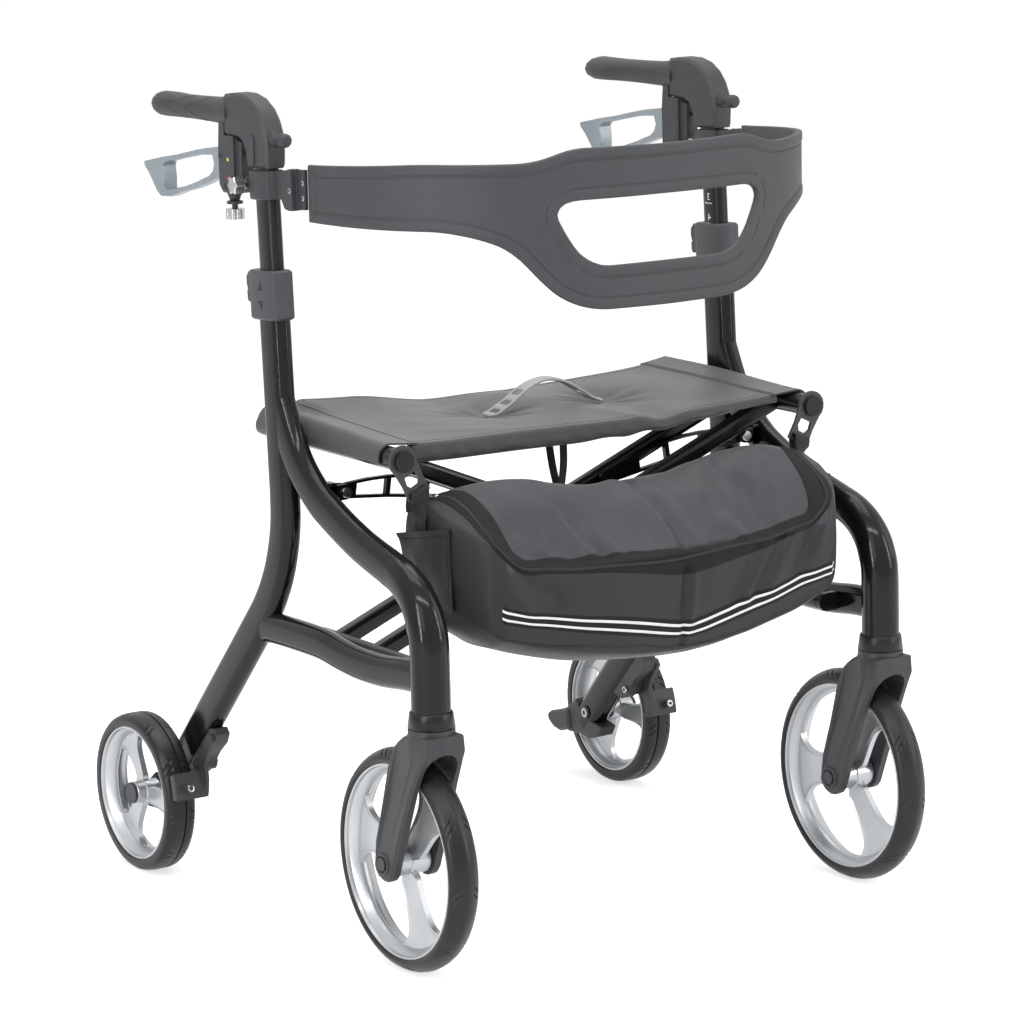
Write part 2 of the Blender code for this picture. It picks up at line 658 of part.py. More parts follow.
def make_arch(name, side):
    w = ARCH_WIDTH / 2
    outer = [(-11, -57), (-12.5, -32), (-9.5, -16), (-2.5, -2), (8.5, 10), (24, 19), (44, 23.5),
             (66, 23.5), (84, 21)]
    inner = [(84, -25), (66, -25.4), (54, -25.4), (43, -31), (36, -41), (34, -52), (34, -59)]
    solid = prism(outline_mm(outer + inner, GRIP_Z), -w, w, along_x(side), rounding=4 * mm)
    x = side * FRAME_X
    collar = rod((x, COLLAR_FRONT_Y, GRIP_Z), (x, COLLAR_BACK_Y, GRIP_Z), COLLAR_RADIUS, 16)
    hook = [(0, 14), (9, 14), (9, -3), (4.2, -6), (4.2, -14), (8.2, -16), (8.2, -24), (6.5, -27), (0, -28)]
    peg = turned(outline_mm(hook), (x, -10 * mm, HOOK_Z), (0, 1, 0), 10)
    solid = union(solid, collar, peg)
    socket = leaned_block(side, post_section(SEAT_GAP), POST_TOP_W - 38 * mm, POST_TOP_W + SEAT_GAP)
    solid = cut(solid, socket)
    add_object(name + "_handle_arch", solid, (PLASTIC, 0.5, 0.0))


def grip_ring(side, y):
    """A section of the grip: round in front, with a palm wing drawn out on its inner side."""
    start = COLLAR_BACK_Y + SEAT_GAP
    t = (y - start) / (GRIP_END_Y - start)
    end = math.sqrt(max(0.0, 1 - max(0.0, (t - 0.84) / 0.16) ** 2))
    high = GRIP_RADIUS * (1 - 0.1 * math.sin(math.pi * t)) * (0.3 + 0.7 * end)
    wing = 1 + 0.75 * math.exp(-((t - 0.82) / 0.2) ** 2)
    ring = []
    for i in range(12):
        angle = 2 * math.pi * i / 12
        across, up = math.cos(angle), math.sin(angle)
        reach = GRIP_RADIUS * (0.35 + 0.65 * end) * (wing if across < 0 else 1)
        ring.append((side * (FRAME_X + across * reach), y, GRIP_Z - GRIP_DROP * t + up * high))
    return ring


def make_grip(name, side):
    start = COLLAR_BACK_Y + SEAT_GAP
    length = GRIP_END_Y - start
    stations = (0, 0.15, 0.32, 0.5, 0.62, 0.72, 0.8, 0.87, 0.93, 0.975, 1)
    rings = [grip_ring(side, start + length * t) for t in stations]
    add_object(name + "_hand_grip", loft(rings), (RUBBER, 0.6, 0.0))


def make_brake_housing(name, side):
    x = side * FRAME_X
    top = GRIP_Z
    outline = [(BRAKE_FRONT_Y, top), (BRAKE_FRONT_Y, BRAKE_LOW_Z + 3 * mm),
               (BRAKE_FRONT_Y + 4 * mm, BRAKE_LOW_Z),
               (BRAKE_BACK_Y - 9 * mm, BRAKE_LOW_Z), (BRAKE_BACK_Y - 1 * mm, BRAKE_LOW_Z + 8 * mm),
               (BRAKE_BACK_Y, LEVER_PIVOT_Z + 10 * mm), (BRAKE_BACK_Y - 4 * mm, top)]
    solid = prism(outline, -BRAKE_HALF, BRAKE_HALF, along_x(side), rounding=2 * mm)
    nose_y = BRAKE_FRONT_Y - 13 * mm
    nose = [(nose_y, top - 32 * mm), (nose_y, top - 74 * mm), (BRAKE_FRONT_Y + 5 * mm, top - 80 * mm),
            (BRAKE_FRONT_Y + 5 * mm, top - 29 * mm)]
    solid = union(solid, prism(nose, -8 * mm, 8 * mm, along_x(side)))
    collar = rod((x, COLLAR_FRONT_Y - 2 * mm, top), (x, COLLAR_BACK_Y + 9 * mm, top),
                 COLLAR_RADIUS + SEAT_GAP, 16)
    edge = COLLAR_FRONT_Y + 8.3 * mm
    above = prism([(40 * mm, top - 25.7 * mm), (edge, top - 25.7 * mm), (edge, top + 30 * mm),
                   (40 * mm, top + 30 * mm)], -20 * mm, 20 * mm, along_x(side))
    slot = prism(outline_mm([(84, -22), (110, -22), (110, -84), (80, -84), (80, -45)], top),
                 -SLOT_HALF, SLOT_HALF, along_x(side))
    solid = cut(solid, collar, above, slot)
    reach = SLOT_HALF + 2 * mm
    pin = rod((x - reach, LEVER_PIVOT_Y, LEVER_PIVOT_Z), (x + reach, LEVER_PIVOT_Y, LEVER_PIVOT_Z),
              LEVER_PIN_RADIUS, 10)
    solid = union(solid, pin)
    add_object(name + "_brake_housing", solid, (PLASTIC, 0.45, 0.0))


def make_brake_lever(name, side):
    """A loop lever with a finger window. Its root turns on the pin inside the housing's slot."""
    top = [(101, -42), (117, -42.5), (140, -45.5), (163, -49.2), (190, -54.5), (212, -59), (240, -63.5),
           (275, -71)]
    back = [(274, -76), (263, -85), (250, -104), (244, -110)]
    low = [(228, -109.5), (197, -100.5), (170, -95), (141, -86.5), (118, -79), (101, -77)]
    root = [(91, -62), (86, -58), (83.5, -52), (86, -46)]
    window = [(126, -52.5), (148, -54), (171, -57), (206, -63.5), (234, -69), (241, -74), (238, -88),
              (240, -99), (232, -102), (192, -94), (166, -87), (150, -81.5), (135, -77), (126, -71),
              (122, -62)]
    eye = arc((LEVER_PIVOT_Y, LEVER_PIVOT_Z), LEVER_PIN_RADIUS + SEAT_GAP, 0, 324, 9)
    solid = prism(outline_mm(top + back + low + root, GRIP_Z), -1.0, 1.0,
                  lambda a, b, h: (side * FRAME_X + h, a, b), holes=(outline_mm(window, GRIP_Z), eye))
    for vert in solid.verts:
        root_half = SLOT_HALF - 1 * mm
        half = root_half + (LEVER_BOW_HALF - root_half) * ease(vert.co.y, *LEVER_FLARE)
        vert.co.x = side * FRAME_X + math.copysign(half, vert.co.x - side * FRAME_X)
    pivot = (side * FRAME_X, LEVER_PIVOT_Y, LEVER_PIVOT_Z)
    add_object(name + "_brake_lever", solid, (LEVER_GREY, 0.35, 0.6), pivot)


def make_adjuster(name, side):
    """Cable adjuster under the brake housing: ferrule, lock nut, stem and knurled barrel."""
    top = BRAKE_LOW_Z - SEAT_GAP
    x = side * FRAME_X
    profile = [(0, 0), (8.5, 0), (5, -9), (9, -10), (9, -12.4), (3, -12.8), (3, -18), (10, -18.6), (10, -30),
               (0, -30)]
    stem = turned(outline_mm(profile), (x, ADJUSTER_Y, top), (0, 0, 1), 10)
    add_object(name + "_cable_adjuster", stem, (SILVER, 0.3, 1.0), (x, ADJUSTER_Y, top))


def make_brake_cable(name, side):
    """The short cable between the brake housing's nose and the arch, held at both ends."""
    x = side * FRAME_X
    y = BRAKE_FRONT_Y - 13 * mm - SEAT_GAP
    z = GRIP_Z - 45 * mm
    points = [(x, y, z), (x, y - 3 * mm, z), (x, 45 * mm, z - 1.2 * mm), (x, 39 * mm, z), (x, 35.8 * mm, z)]
    cord = round_sweep([Vector(p) for p in points], 2.2 * mm, 8)
    add_object(name + "_brake_cable", cord, (RUBBER, 0.5, 0.0))


# Backrest bracket and star screw

def make_back_bracket(name, side):
    outline = rounded_box(24 * mm, INNER_REACH, 11 * mm, (1 * mm, 0), 2)
    collar = leaned_block(side, outline, BRACKET_LOW_W, BRACKET_HIGH_W, rounding=1.5 * mm)
    lug = leaned_plate(side, arc((STAR_V, STAR_W), 9 * mm, -90, 90, 6)
                       + [(20 * mm, STAR_W + 9 * mm), (20 * mm, STAR_W - 9 * mm)], -6 * mm, 9 * mm)
    plate = [(-18, -1), (-60, 2.4), (-60, -44), (-50, -44), (-42, -42), (-36, -32), (-18, -32)]
    wing = leaned_plate(side, outline_mm(plate, BRACKET_HIGH_W), -8 * mm, 4 * mm)
    strip = outline_mm([(-50, 2), (-78.4, 2), (-76, -43), (-50, -43)], BRACKET_HIGH_W)
    strip = leaned_plate(side, strip, -8 * mm, -3 * mm)
    solid = union(collar, lug, wing, strip)
    place = leaned(side)
    hole = leaned_block(side, post_section(SEAT_GAP), BRACKET_LOW_W - 5 * mm, BRACKET_HIGH_W + 5 * mm)
    bore = rod(place(-20 * mm, STAR_V, STAR_W), place(20 * mm, STAR_V, STAR_W), 3 * mm + RUN_GAP, 10)
    add_object(name + "_back_bracket", cut(solid, hole, bore), (PLASTIC, 0.5, 0.0))

    outline = []
    for i in range(STAR_LOBES * 3):
        angle = 2 * math.pi * i / (STAR_LOBES * 3)
        radius = (9.6 + 1.9 * math.cos(STAR_LOBES * angle)) * mm
        outline.append((STAR_V + radius * math.cos(angle), STAR_W + radius * math.sin(angle)))
    knob = leaned_plate(side, outline, 16 * mm, 29 * mm, rounding=1 * mm)
    shank = rod(place(-12 * mm, STAR_V, STAR_W), place(17 * mm, STAR_V, STAR_W), 3 * mm, 8)
    seat = rod(place(9.3 * mm, STAR_V, STAR_W), place(17 * mm, STAR_V, STAR_W), 5.5 * mm, 8)
    nut = rod(place(-6.3 * mm, STAR_V, STAR_W), place(-11.5 * mm, STAR_V, STAR_W), 6 * mm, 6)
    star = union(knob, shank, seat, nut)
    add_object(name + "_star_screw", star, (SILVER, 0.3, 0.8), place(0, STAR_V, STAR_W))


# Rear foot with its pedal, brake bracket, brake shoe and rear wheel

def make_rear_foot(name, side):
    """The plug that closes the rear leg's end and is drawn out to the pedal for tipping over kerbs."""
    plug = [(254, 82), (262, 69), (284, 61.5), (300, 65), (330, 63), (346, 70), (346, 88), (330, 96),
            (311, 110), (296, 90)]
    paddle = [(322, 68), (345, 60.5), (360, 63), (371, 70), (374, 79), (366, 84), (346, 88), (326, 93)]
    half = TUBE_WIDTH / 2
    solid = prism(outline_mm(plug), -half, half, along_x(side), rounding=1.5 * mm)
    solid = union(solid, prism(outline_mm(paddle), -17 * mm, 17 * mm, along_x(side), rounding=3 * mm))
    solid = cut(solid, rear_leg_solid(side, SEAT_GAP))
    add_object(name + "_rear_foot", solid, (PLASTIC, 0.5, 0.0))


def make_brake_bracket(name, side):
    """The fixed half of the brake: a saddle on the leg's front edge with a cable stop and the pivot pin."""
    y, z = BRAKE_PIVOT
    saddle = outline_mm([(228, 133), (212, 160), (180, 190), (163, 193), (157, 186), (163, 174), (180, 160),
                         (189, 150)])
    saddle += arc(BRAKE_PIVOT, 8.5 * mm, 170, 290, 5) + outline_mm([(210, 129)])
    solid = prism(saddle, -BRACKET_HALF, BRACKET_HALF, along_x(side))
    solid = cut(solid, rear_leg_solid(side, SEAT_GAP))
    x = side * FRAME_X
    pin = rod((x - side * 12 * mm, y, z), (x + side * 17 * mm, y, z), BRAKE_PIN_RADIUS, 10)
    add_object(name + "_brake_bracket", union(solid, pin), (PLASTIC, 0.5, 0.0))


def make_brake_shoe(name, side):
    """An arm beside the bracket that swings a block against the tyre's front."""
    base = FRAME_X + BRACKET_HALF + RUN_GAP
    arm = arc(BRAKE_PIVOT, 8 * mm, -90, 80, 6)
    arm += outline_mm([(188, 160), (172, 184), (163, 187), (157, 179), (172, 158), (178, 145), (176, 130),
                       (178, 112), (187, 112), (190, 128)])
    hole = arc(BRAKE_PIVOT, BRAKE_PIN_RADIUS + SEAT_GAP, 0, 324, 9)
    solid = prism(arm, 0, 5.4 * mm, along_x(side, base), holes=(hole,))
    centre = (REAR_AXLE_Y, REAR_AXLE_Z)
    inner = REAR_RADIUS + SHOE_CLEAR
    block = arc(centre, inner, 157, 174, 5) + arc(centre, inner + SHOE_DEPTH, 174, 157, 5)
    pad = prism(block, 0.2 * mm, REAR_TRACK_X - base + 16 * mm, along_x(side, base), rounding=1 * mm)
    boss = rod((side * REAR_TRACK_X, REAR_AXLE_Y - inner - 8 * mm, REAR_AXLE_Z + 24 * mm),
               (side * REAR_TRACK_X, REAR_AXLE_Y - inner - 17 * mm, REAR_AXLE_Z + 27 * mm), 5.5 * mm, 10)
    add_object(name + "_brake_shoe", union(solid, pad, boss), (PLASTIC, 0.5, 0.0),
               (side * (base + 3 * mm), *BRAKE_PIVOT))


def tyre_profile(radius, bore, width, shoulder, drop):
    """Half a tyre section mirrored: (radius, along) points round the ring."""
    half = width / 2
    side = [(bore, half - 1.5 * mm), (radius - drop, half), (radius - drop * 0.34, half - shoulder * 0.42),
            (radius, 5 * mm)]
    return side + [(r, -a) for r, a in reversed(side)]


def rim_solid(centre, outer, width, hub_radius, hub_half, neck, flare, turn):
    """Barrel with two lips, three drawn-out spokes and a bored hub, about an axle along X."""
    half = width / 2
    barrel = [(outer, half), (outer - RIM_WALL, half), (outer - 11 * mm, 5 * mm), (outer - 11 * mm, -5 * mm),
              (outer - RIM_WALL, -half), (outer, -half)]
    solid = turned(barrel, (0, 0, 0), (1, 0, 0), WHEEL_STEPS, math.pi / WHEEL_STEPS)
    hub = turned([(AXLE_RADIUS + RUN_GAP, hub_half), (hub_radius, hub_half), (hub_radius, -hub_half),
                  (AXLE_RADIUS + RUN_GAP, -hub_half)], (0, 0, 0), (1, 0, 0), 12)
    start = hub_radius - 3 * mm
    reach = outer - 11 * mm - start
    for index in range(SPOKES):
        edges = ([], [])
        for step in range(7):
            t = step / 6
            radius = start + reach * t
            swirl = math.radians(turn + 360 * index / SPOKES + 5 * (1 - t) ** 2)
            half_width = neck / 2 * (1 + 0.2 * t) + flare * t ** 6
            spread = min(half_width / radius, math.radians(34))
            for edge, sign in zip(edges, (1, -1)):
                angle = swirl + sign * spread
                edge.append((radius * math.cos(angle), radius * math.sin(angle)))
        blade = prism(edges[0] + edges[1][::-1], -SPOKE_THICKNESS / 2, SPOKE_THICKNESS / 2,
                      lambda a, b, h: (h, a, b))
        solid = union(solid, blade)
    bore = rod((-hub_half - 5 * mm, 0, 0), (hub_half + 5 * mm, 0, 0), AXLE_RADIUS + RUN_GAP, 12)
    solid = union(cut(solid, bore), hub)
    bmesh.ops.translate(solid, verts=solid.verts, vec=centre)
    return solid


def make_rear_wheel(name, side):
    x = side * REAR_TRACK_X
    centre = (x, REAR_AXLE_Y, REAR_AXLE_Z)
    turn = math.pi / WHEEL_STEPS
    profile = tyre_profile(REAR_RADIUS, REAR_RIM_RADIUS + SEAT_GAP, REAR_TYRE_WIDTH, 10 * mm, 6 * mm)
    tyre = turned(profile, centre, (1, 0, 0), WHEEL_STEPS, turn)
    add_object(name + "_rear_tyre", tyre, (RUBBER, 0.55, 0.0), centre)
    rim = rim_solid(centre, REAR_RIM_RADIUS, 36 * mm, REAR_HUB_RADIUS, REAR_HUB_HALF, 21 * mm, 20 * mm,
                    REAR_SPOKE_TURN[name])
    add_object(name + "_rear_rim", rim, (SILVER, 0.35, 0.9), centre)

    inner = FRAME_X - TUBE_WIDTH / 2 - SEAT_GAP
    hub_end = REAR_TRACK_X + REAR_HUB_HALF
    place = lambda along: (side * along, REAR_AXLE_Y, REAR_AXLE_Z)
    bolt = rod(place(inner - 1.5 * mm), place(hub_end + 2 * mm), AXLE_RADIUS)
    head = rod(place(inner), place(inner - 1.6 * mm), 9 * mm)
    spacer = rod(place(FRAME_X + TUBE_WIDTH / 2 + SEAT_GAP), place(REAR_TRACK_X - REAR_HUB_HALF - RUN_GAP),
                 8.5 * mm)
    cap = rod(place(hub_end + RUN_GAP), place(hub_end + 4 * mm), REAR_CAP_RADIUS, 14)
    add_object(name + "_rear_axle", union(bolt, head, spacer, cap), (SILVER, 0.3, 1.0))


# Front caster: fork, wheel and axle

def make_fork(name, side):
    """A moulded fork: a round crown on the swivel axis and two arms that trail to the axle."""
    x = side * FRAME_X
    tip = arc((FRONT_AXLE_Y, FRONT_AXLE_Z), 21 * mm, -15, -150, 6)
    arm = [(10.5, 282), (21.5, 276.5), (32.5, 268.6), (41.1, 260.1), (48.5, 240), (57.5, 195), (72.5, 152)]
    front = [(16.5, 170), (-4.5, 220), (-20.5, 250), (-27.5, 262), (-27.5, 282)]
    outline = outline_mm(arm, 0, SWIVEL_Y) + tip + outline_mm(front, 0, SWIVEL_Y)
    solid = prism(outline, -FORK_HALF, FORK_HALF, along_x(side), rounding=3.5 * mm, segments=1)
    for vert in solid.verts:
        rise = min(1.0, max(0.0, (vert.co.z - 200 * mm) / (84 * mm)))
        vert.co.x = x + (vert.co.x - x) * (1 - FORK_TAPER * rise)
    cup = [(0, 250 * mm), (CROWN_RADIUS, 250 * mm), (CROWN_RADIUS, 276 * mm), (HEAD_RING_LOW, 282 * mm),
           (HEAD_RING_LOW, FORK_TOP_Z), (0, FORK_TOP_Z)]
    crown = turned(cup, (x, SWIVEL_Y, 0), (0, 0, 1), 16)
    solid = union(solid, crown)
    arch_top = FRONT_AXLE_Z + FRONT_RADIUS + 9 * mm
    mouth = arc((0, arch_top - FORK_INNER), FORK_INNER, 0, 180, 8)
    mouth += [(-FORK_INNER, 60 * mm), (FORK_INNER, 60 * mm)]
    channel = prism(mouth, SWIVEL_Y - 60 * mm, FRONT_AXLE_Y + 60 * mm, lambda a, b, h: (x + a, h, b))
    hole = rod((x - 60 * mm, FRONT_AXLE_Y, FRONT_AXLE_Z), (x + 60 * mm, FRONT_AXLE_Y, FRONT_AXLE_Z),
               AXLE_RADIUS + SEAT_GAP)
    solid = cut(solid, channel, hole)
    add_object(name + "_fork", solid, (PLASTIC, 0.5, 0.0), (x, SWIVEL_Y, FORK_TOP_Z))


def make_front_wheel(name, side):
    x = side * FRAME_X
    centre = (x, FRONT_AXLE_Y, FRONT_AXLE_Z)
    turn = math.pi / WHEEL_STEPS
    profile = tyre_profile(FRONT_RADIUS, FRONT_RIM_RADIUS + SEAT_GAP, FRONT_TYRE_WIDTH, 16 * mm, 12.4 * mm)
    tyre = turned(profile, centre, (1, 0, 0), WHEEL_STEPS, turn)
    add_object(name + "_front_tyre", tyre, (RUBBER, 0.5, 0.0), centre)
    rim = rim_solid(centre, FRONT_RIM_RADIUS, 34 * mm, FRONT_HUB_RADIUS, FRONT_HUB_HALF, 33 * mm, 24 * mm,
                    FRONT_SPOKE_TURN[name])
    add_object(name + "_front_rim", rim, (SILVER, 0.35, 0.9), centre)
    place = lambda along: (x + along, FRONT_AXLE_Y, FRONT_AXLE_Z)
    solid = rod(place(-FORK_HALF - 1 * mm), place(FORK_HALF + 1 * mm), AXLE_RADIUS)
    for sign in (-1, 1):
        head = rod(place(sign * (FORK_HALF + SEAT_GAP)), place(sign * (FORK_HALF + 2.6 * mm)), 8 * mm)
        solid = union(solid, head)
    add_object(name + "_front_axle", solid, (SILVER, 0.3, 1.0))


# Truss link and bag hanger

def make_truss_link(name, side):
    """A flat arm with three windows, from the side frame's clevis to the cross-brace."""
    inner = (LINK_INNER_S * math.cos(BRACE_SLOPE), BRACE_MIDDLE_Z + LINK_INNER_S * math.sin(BRACE_SLOPE))
    outer = (PIVOT_X, LINK_PIVOT_Z)
    length = math.hypot(outer[0] - inner[0], outer[1] - inner[1])
    ahead = ((inner[0] - outer[0]) / length, (inner[1] - outer[1]) / length)
    up = (ahead[1], -ahead[0]) if ahead[0] < 0 else (-ahead[1], ahead[0])
    low_y, high_y = link_y(side)

    def place(s, h, y):
        return (side * (outer[0] + ahead[0] * s + up[0] * h), y, outer[1] + ahead[1] * s + up[1] * h)

    def edge(s, sign):
        t = s / length
        swell = math.sin(math.pi * min(1.0, t * 1.02)) ** 0.8
        return LINK_EYE + LINK_RISE * swell if sign > 0 else -(LINK_EYE - 4 * mm * swell)

    top = [(s * mm, edge(s * mm, 1)) for s in (8, 30, 60, 90, 120, 150, 180)]
    low = [(s * mm, edge(s * mm, -1)) for s in (180, 120, 60, 8)]
    nose = arc((length, 0), LINK_EYE, 60, -60, 4)
    tail = arc((0, 0), LINK_EYE, 240, 120, 4)
    windows = []
    for start, end in ((17, 56), (62, 108), (114, 152)):
        rim = 3.6 * mm
        a, b = start * mm, end * mm
        windows.append([(a, edge(a, -1) + rim), (b, edge(b, -1) + rim), (b, edge(b, 1) - rim),
                        ((a + b) / 2, edge((a + b) / 2, 1) - rim), (a, edge(a, 1) - rim)])
    eye = arc((0, 0), LINK_PIN_RADIUS + SEAT_GAP, 0, 324, 9)
    solid = prism(top + nose + low + tail, low_y, high_y, place, holes=(*windows, eye))
    pivot = (side * PIVOT_X, (low_y + high_y) / 2, LINK_PIVOT_Z)
    add_object(name + "_truss_link", solid, (BLACK, 0.4, 0.0), pivot)


def hanger_place(side):
    """A place by a outboard and b up from the seat rail, turned so that the hanger leans to the centre."""
    c, s = math.cos(HANGER_TURN), math.sin(HANGER_TURN)
    return lambda a, b, h: (side * (PIVOT_X + a * c + b * s), h, SEAT_RAIL_Z + b * c - a * s)


def make_bag_hanger(name, side):
    """A moulded loop on the seat rail's front cap: ring, open eye and a slot for the bag's webbing."""
    outline = arc((0, 0), 17.5 * mm, -25, 205, 12)
    outline += outline_mm([(-14, -26), (-15, -46), (15, -46), (14, -26)])
    ring = arc((0, 0), CAP_NECK_RADIUS + RUN_GAP, 0, 337.5, 15)
    eye = outline_mm([(-7.5, -18), (7.5, -18), (9, -27), (5, -33), (-5, -33), (-9, -27)])
    slot = outline_mm([(-11, -37.5), (11, -37.5), (11, -42), (-11, -42)])
    solid = prism(outline, HANGER_FRONT_Y, HANGER_FRONT_Y + HANGER_THICKNESS, hanger_place(side),
                  holes=(ring, eye, slot))
    add_object(name + "_bag_hanger", solid, (PLASTIC, 0.5, 0.0),
               (side * PIVOT_X, HANGER_FRONT_Y + HANGER_THICKNESS / 2, SEAT_RAIL_Z))


# Scissor cross-brace

def brace_tube(start, end, y):
    """A tube with flat-sided round section between two points of the XZ plane."""
    ahead = Vector((end[0] - start[0], end[1] - start[1])).normalized()
    across = Vector((-ahead.y, ahead.x))
    rings = []
    for x, z in (start, end):
        ring = []
        for a, b in rounded_box(BRACE_HEIGHT / 2, BRACE_WIDTH / 2, 4.5 * mm, steps=2):
            ring.append((x + across.x * a, y + b, z + across.y * a))
        rings.append(ring)
    return loft(rings)


def rail_profile():
    """A seat rail from its front cap to its rear end plug: (radius, Y) points."""
    front, back = SEAT_RAIL_FRONT_Y, SEAT_RAIL_BACK_Y
    ring = HANGER_FRONT_Y
    return [(0, back + 5 * mm), (9 * mm, back + 5 * mm), (SEAT_RAIL_RADIUS, back),
            (SEAT_RAIL_RADIUS, front - 6 * mm), (CAP_NECK_RADIUS, front - 6.2 * mm),
            (CAP_NECK_RADIUS, ring - 0.5 * mm), (CAP_RADIUS, ring - 0.6 * mm), (CAP_RADIUS, ring - 4.5 * mm),
            (0, ring - 4.8 * mm)]


def make_cross_member(name, low_side, tube_ys, pinned):
    """Lower sleeve on one side, two tubes across, and the seat rail on the other side."""
    low = (low_side * PIVOT_X, PIVOT_Z)
    high = (-low_side * PIVOT_X, SEAT_RAIL_Z)
    solid = rod((low[0], SLEEVE_FRONT_Y, low[1]), (low[0], SLEEVE_BACK_Y, low[1]), SLEEVE_RADIUS, 12)
    rail = turned(rail_profile(), (high[0], 0, high[1]), (0, 1, 0), 16)
    for y in tube_ys:
        solid = union(solid, brace_tube(low, high, y))
    solid = union(solid, rail)
    bore = rod((low[0], SLEEVE_FRONT_Y - 5 * mm, low[1]), (low[0], SLEEVE_BACK_Y + 5 * mm, low[1]),
               ROD_RADIUS + RUN_GAP)
    solid = cut(solid, bore)
    for y_a, y_b in zip(BRACE_A_Y, BRACE_B_Y):
        front = y_b - BRACE_WIDTH / 2 - SEAT_GAP
        if pinned:
            pin = rod((0, y_a, BRACE_MIDDLE_Z), (0, front - 1 * mm, BRACE_MIDDLE_Z), BRACE_PIN_RADIUS, 10)
            head = rod((0, front, BRACE_MIDDLE_Z), (0, front - 4 * mm, BRACE_MIDDLE_Z), 8 * mm)
            bush = rod((0, y_a, BRACE_MIDDLE_Z), (0, y_b + BRACE_WIDTH / 2 + SEAT_GAP, BRACE_MIDDLE_Z),
                       7 * mm)
            solid = union(solid, pin, head, bush)
        else:
            hole = rod((0, y_b - 15 * mm, BRACE_MIDDLE_Z), (0, y_b + 15 * mm, BRACE_MIDDLE_Z),
                       BRACE_PIN_RADIUS + SEAT_GAP, 10)
            solid = cut(solid, hole)
    add_object(name, solid, (BLACK, 0.25, 0.0), (low[0], (SLEEVE_FRONT_Y + SLEEVE_BACK_Y) / 2, low[1]))


# Soft parts

def rear_lift(t):
    return SEAT_REAR_LIFT * (1 - ease(t, 0.3, 1.0))


def cloth_height(x, t):
    """The top of the seat cloth at x across, at t from the rear edge to the front edge."""
    s = (x / PIVOT_X + 1) / 2
    flat = 1 - abs(2 * s - 1) ** 4
    crease = 6 * mm * math.exp(-((x - 20 * mm) / (45 * mm)) ** 2) * (1 - t) * math.sin(math.pi * t)
    ripple = 1.2 * mm * flat * math.sin(3 * math.pi * s + 5 * t)
    top = SEAT_RAIL_Z + SLEEVE_IN + CLOTH + rear_lift(t) * (1 - flat)
    return top - SEAT_SAG * flat + crease + ripple


def seat_section(t):
    """The cloth seen from the front, at t from the rear: over both rails and across between them."""
    hem = 3.5 * mm * (2 * t - 1) ** 6
    outer, inner = [], []
    for side in (-1, 1):
        around = []
        for i in range(6):
            angle = math.radians(90 + SLEEVE_STEP * (5 - i))
            around.append((math.cos(angle), math.sin(angle)))
        for radius, line in ((SLEEVE_IN + CLOTH, outer), (SLEEVE_IN, inner)):
            points = [(side * (PIVOT_X - radius * c),
                       SEAT_RAIL_Z + radius * s + rear_lift(t) * max(0.0, s) ** 3) for c, s in around]
            line.append(points if side < 0 else points[::-1])
    across_top, across_low = [], []
    for i in range(1, 12):
        x = PIVOT_X * (i / 6 - 1)
        height = cloth_height(x, t)
        across_top.append((x, height + hem * 0.2))
        across_low.append((x, height - CLOTH - hem))
    ring = outer[0] + across_top + outer[1] + inner[1][::-1] + across_low[::-1] + inner[0][::-1]
    return ring


def make_seat():
    rings = []
    for i in range(SEAT_STATIONS):
        t = i / (SEAT_STATIONS - 1)
        y = SEAT_BACK_Y + (SEAT_FRONT_Y - SEAT_BACK_Y) * t
        rings.append([(x, y, z) for x, z in seat_section(t)])
    add_object("seat_cloth", loft(rings), (CLOTH_BLACK, 0.5, 0.0))


def make_pull_strap():
    """The moulded strap that lifts the seat to fold the frame, with two slots at each end."""
    start, end = STRAP_X
    depth = SEAT_BACK_Y - SEAT_FRONT_Y
    rings = []
    for i in range(15):
        t = i / 14
        x = start + (end - start) * t
        width = STRAP_WIDTH / 2 * (0.55 + 0.45 * min(1.0, 6 * min(t, 1 - t)))
        cloth = max(cloth_height(x, (SEAT_BACK_Y - STRAP_Y + step * width) / depth) for step in (-1, 0, 1))
        z = cloth + STRAP_LIFT + STRAP_RISE * math.sin(math.pi * t) ** 1.6
        top = z + STRAP_THICKNESS
        rings.append([(x, STRAP_Y - width, z), (x, STRAP_Y + width, z), (x, STRAP_Y + width, top),
                      (x, STRAP_Y - width, top)])
    solid = loft(rings)
    for x in (start + 9 * mm, start + 22 * mm, end - 22 * mm, end - 9 * mm):
        slot = bmesh.new()
        bmesh.ops.create_cube(slot, size=1.0)
        bmesh.ops.scale(slot, vec=(6 * mm, 10 * mm, 60 * mm), verts=slot.verts)
        bmesh.ops.translate(slot, vec=(x, STRAP_Y, SEAT_RAIL_Z + SEAT_RAIL_RADIUS), verts=slot.verts)
        solid = cut(solid, slot)
    add_object("pull_strap", solid, (STRAP_GREY, 0.45, 0.0))


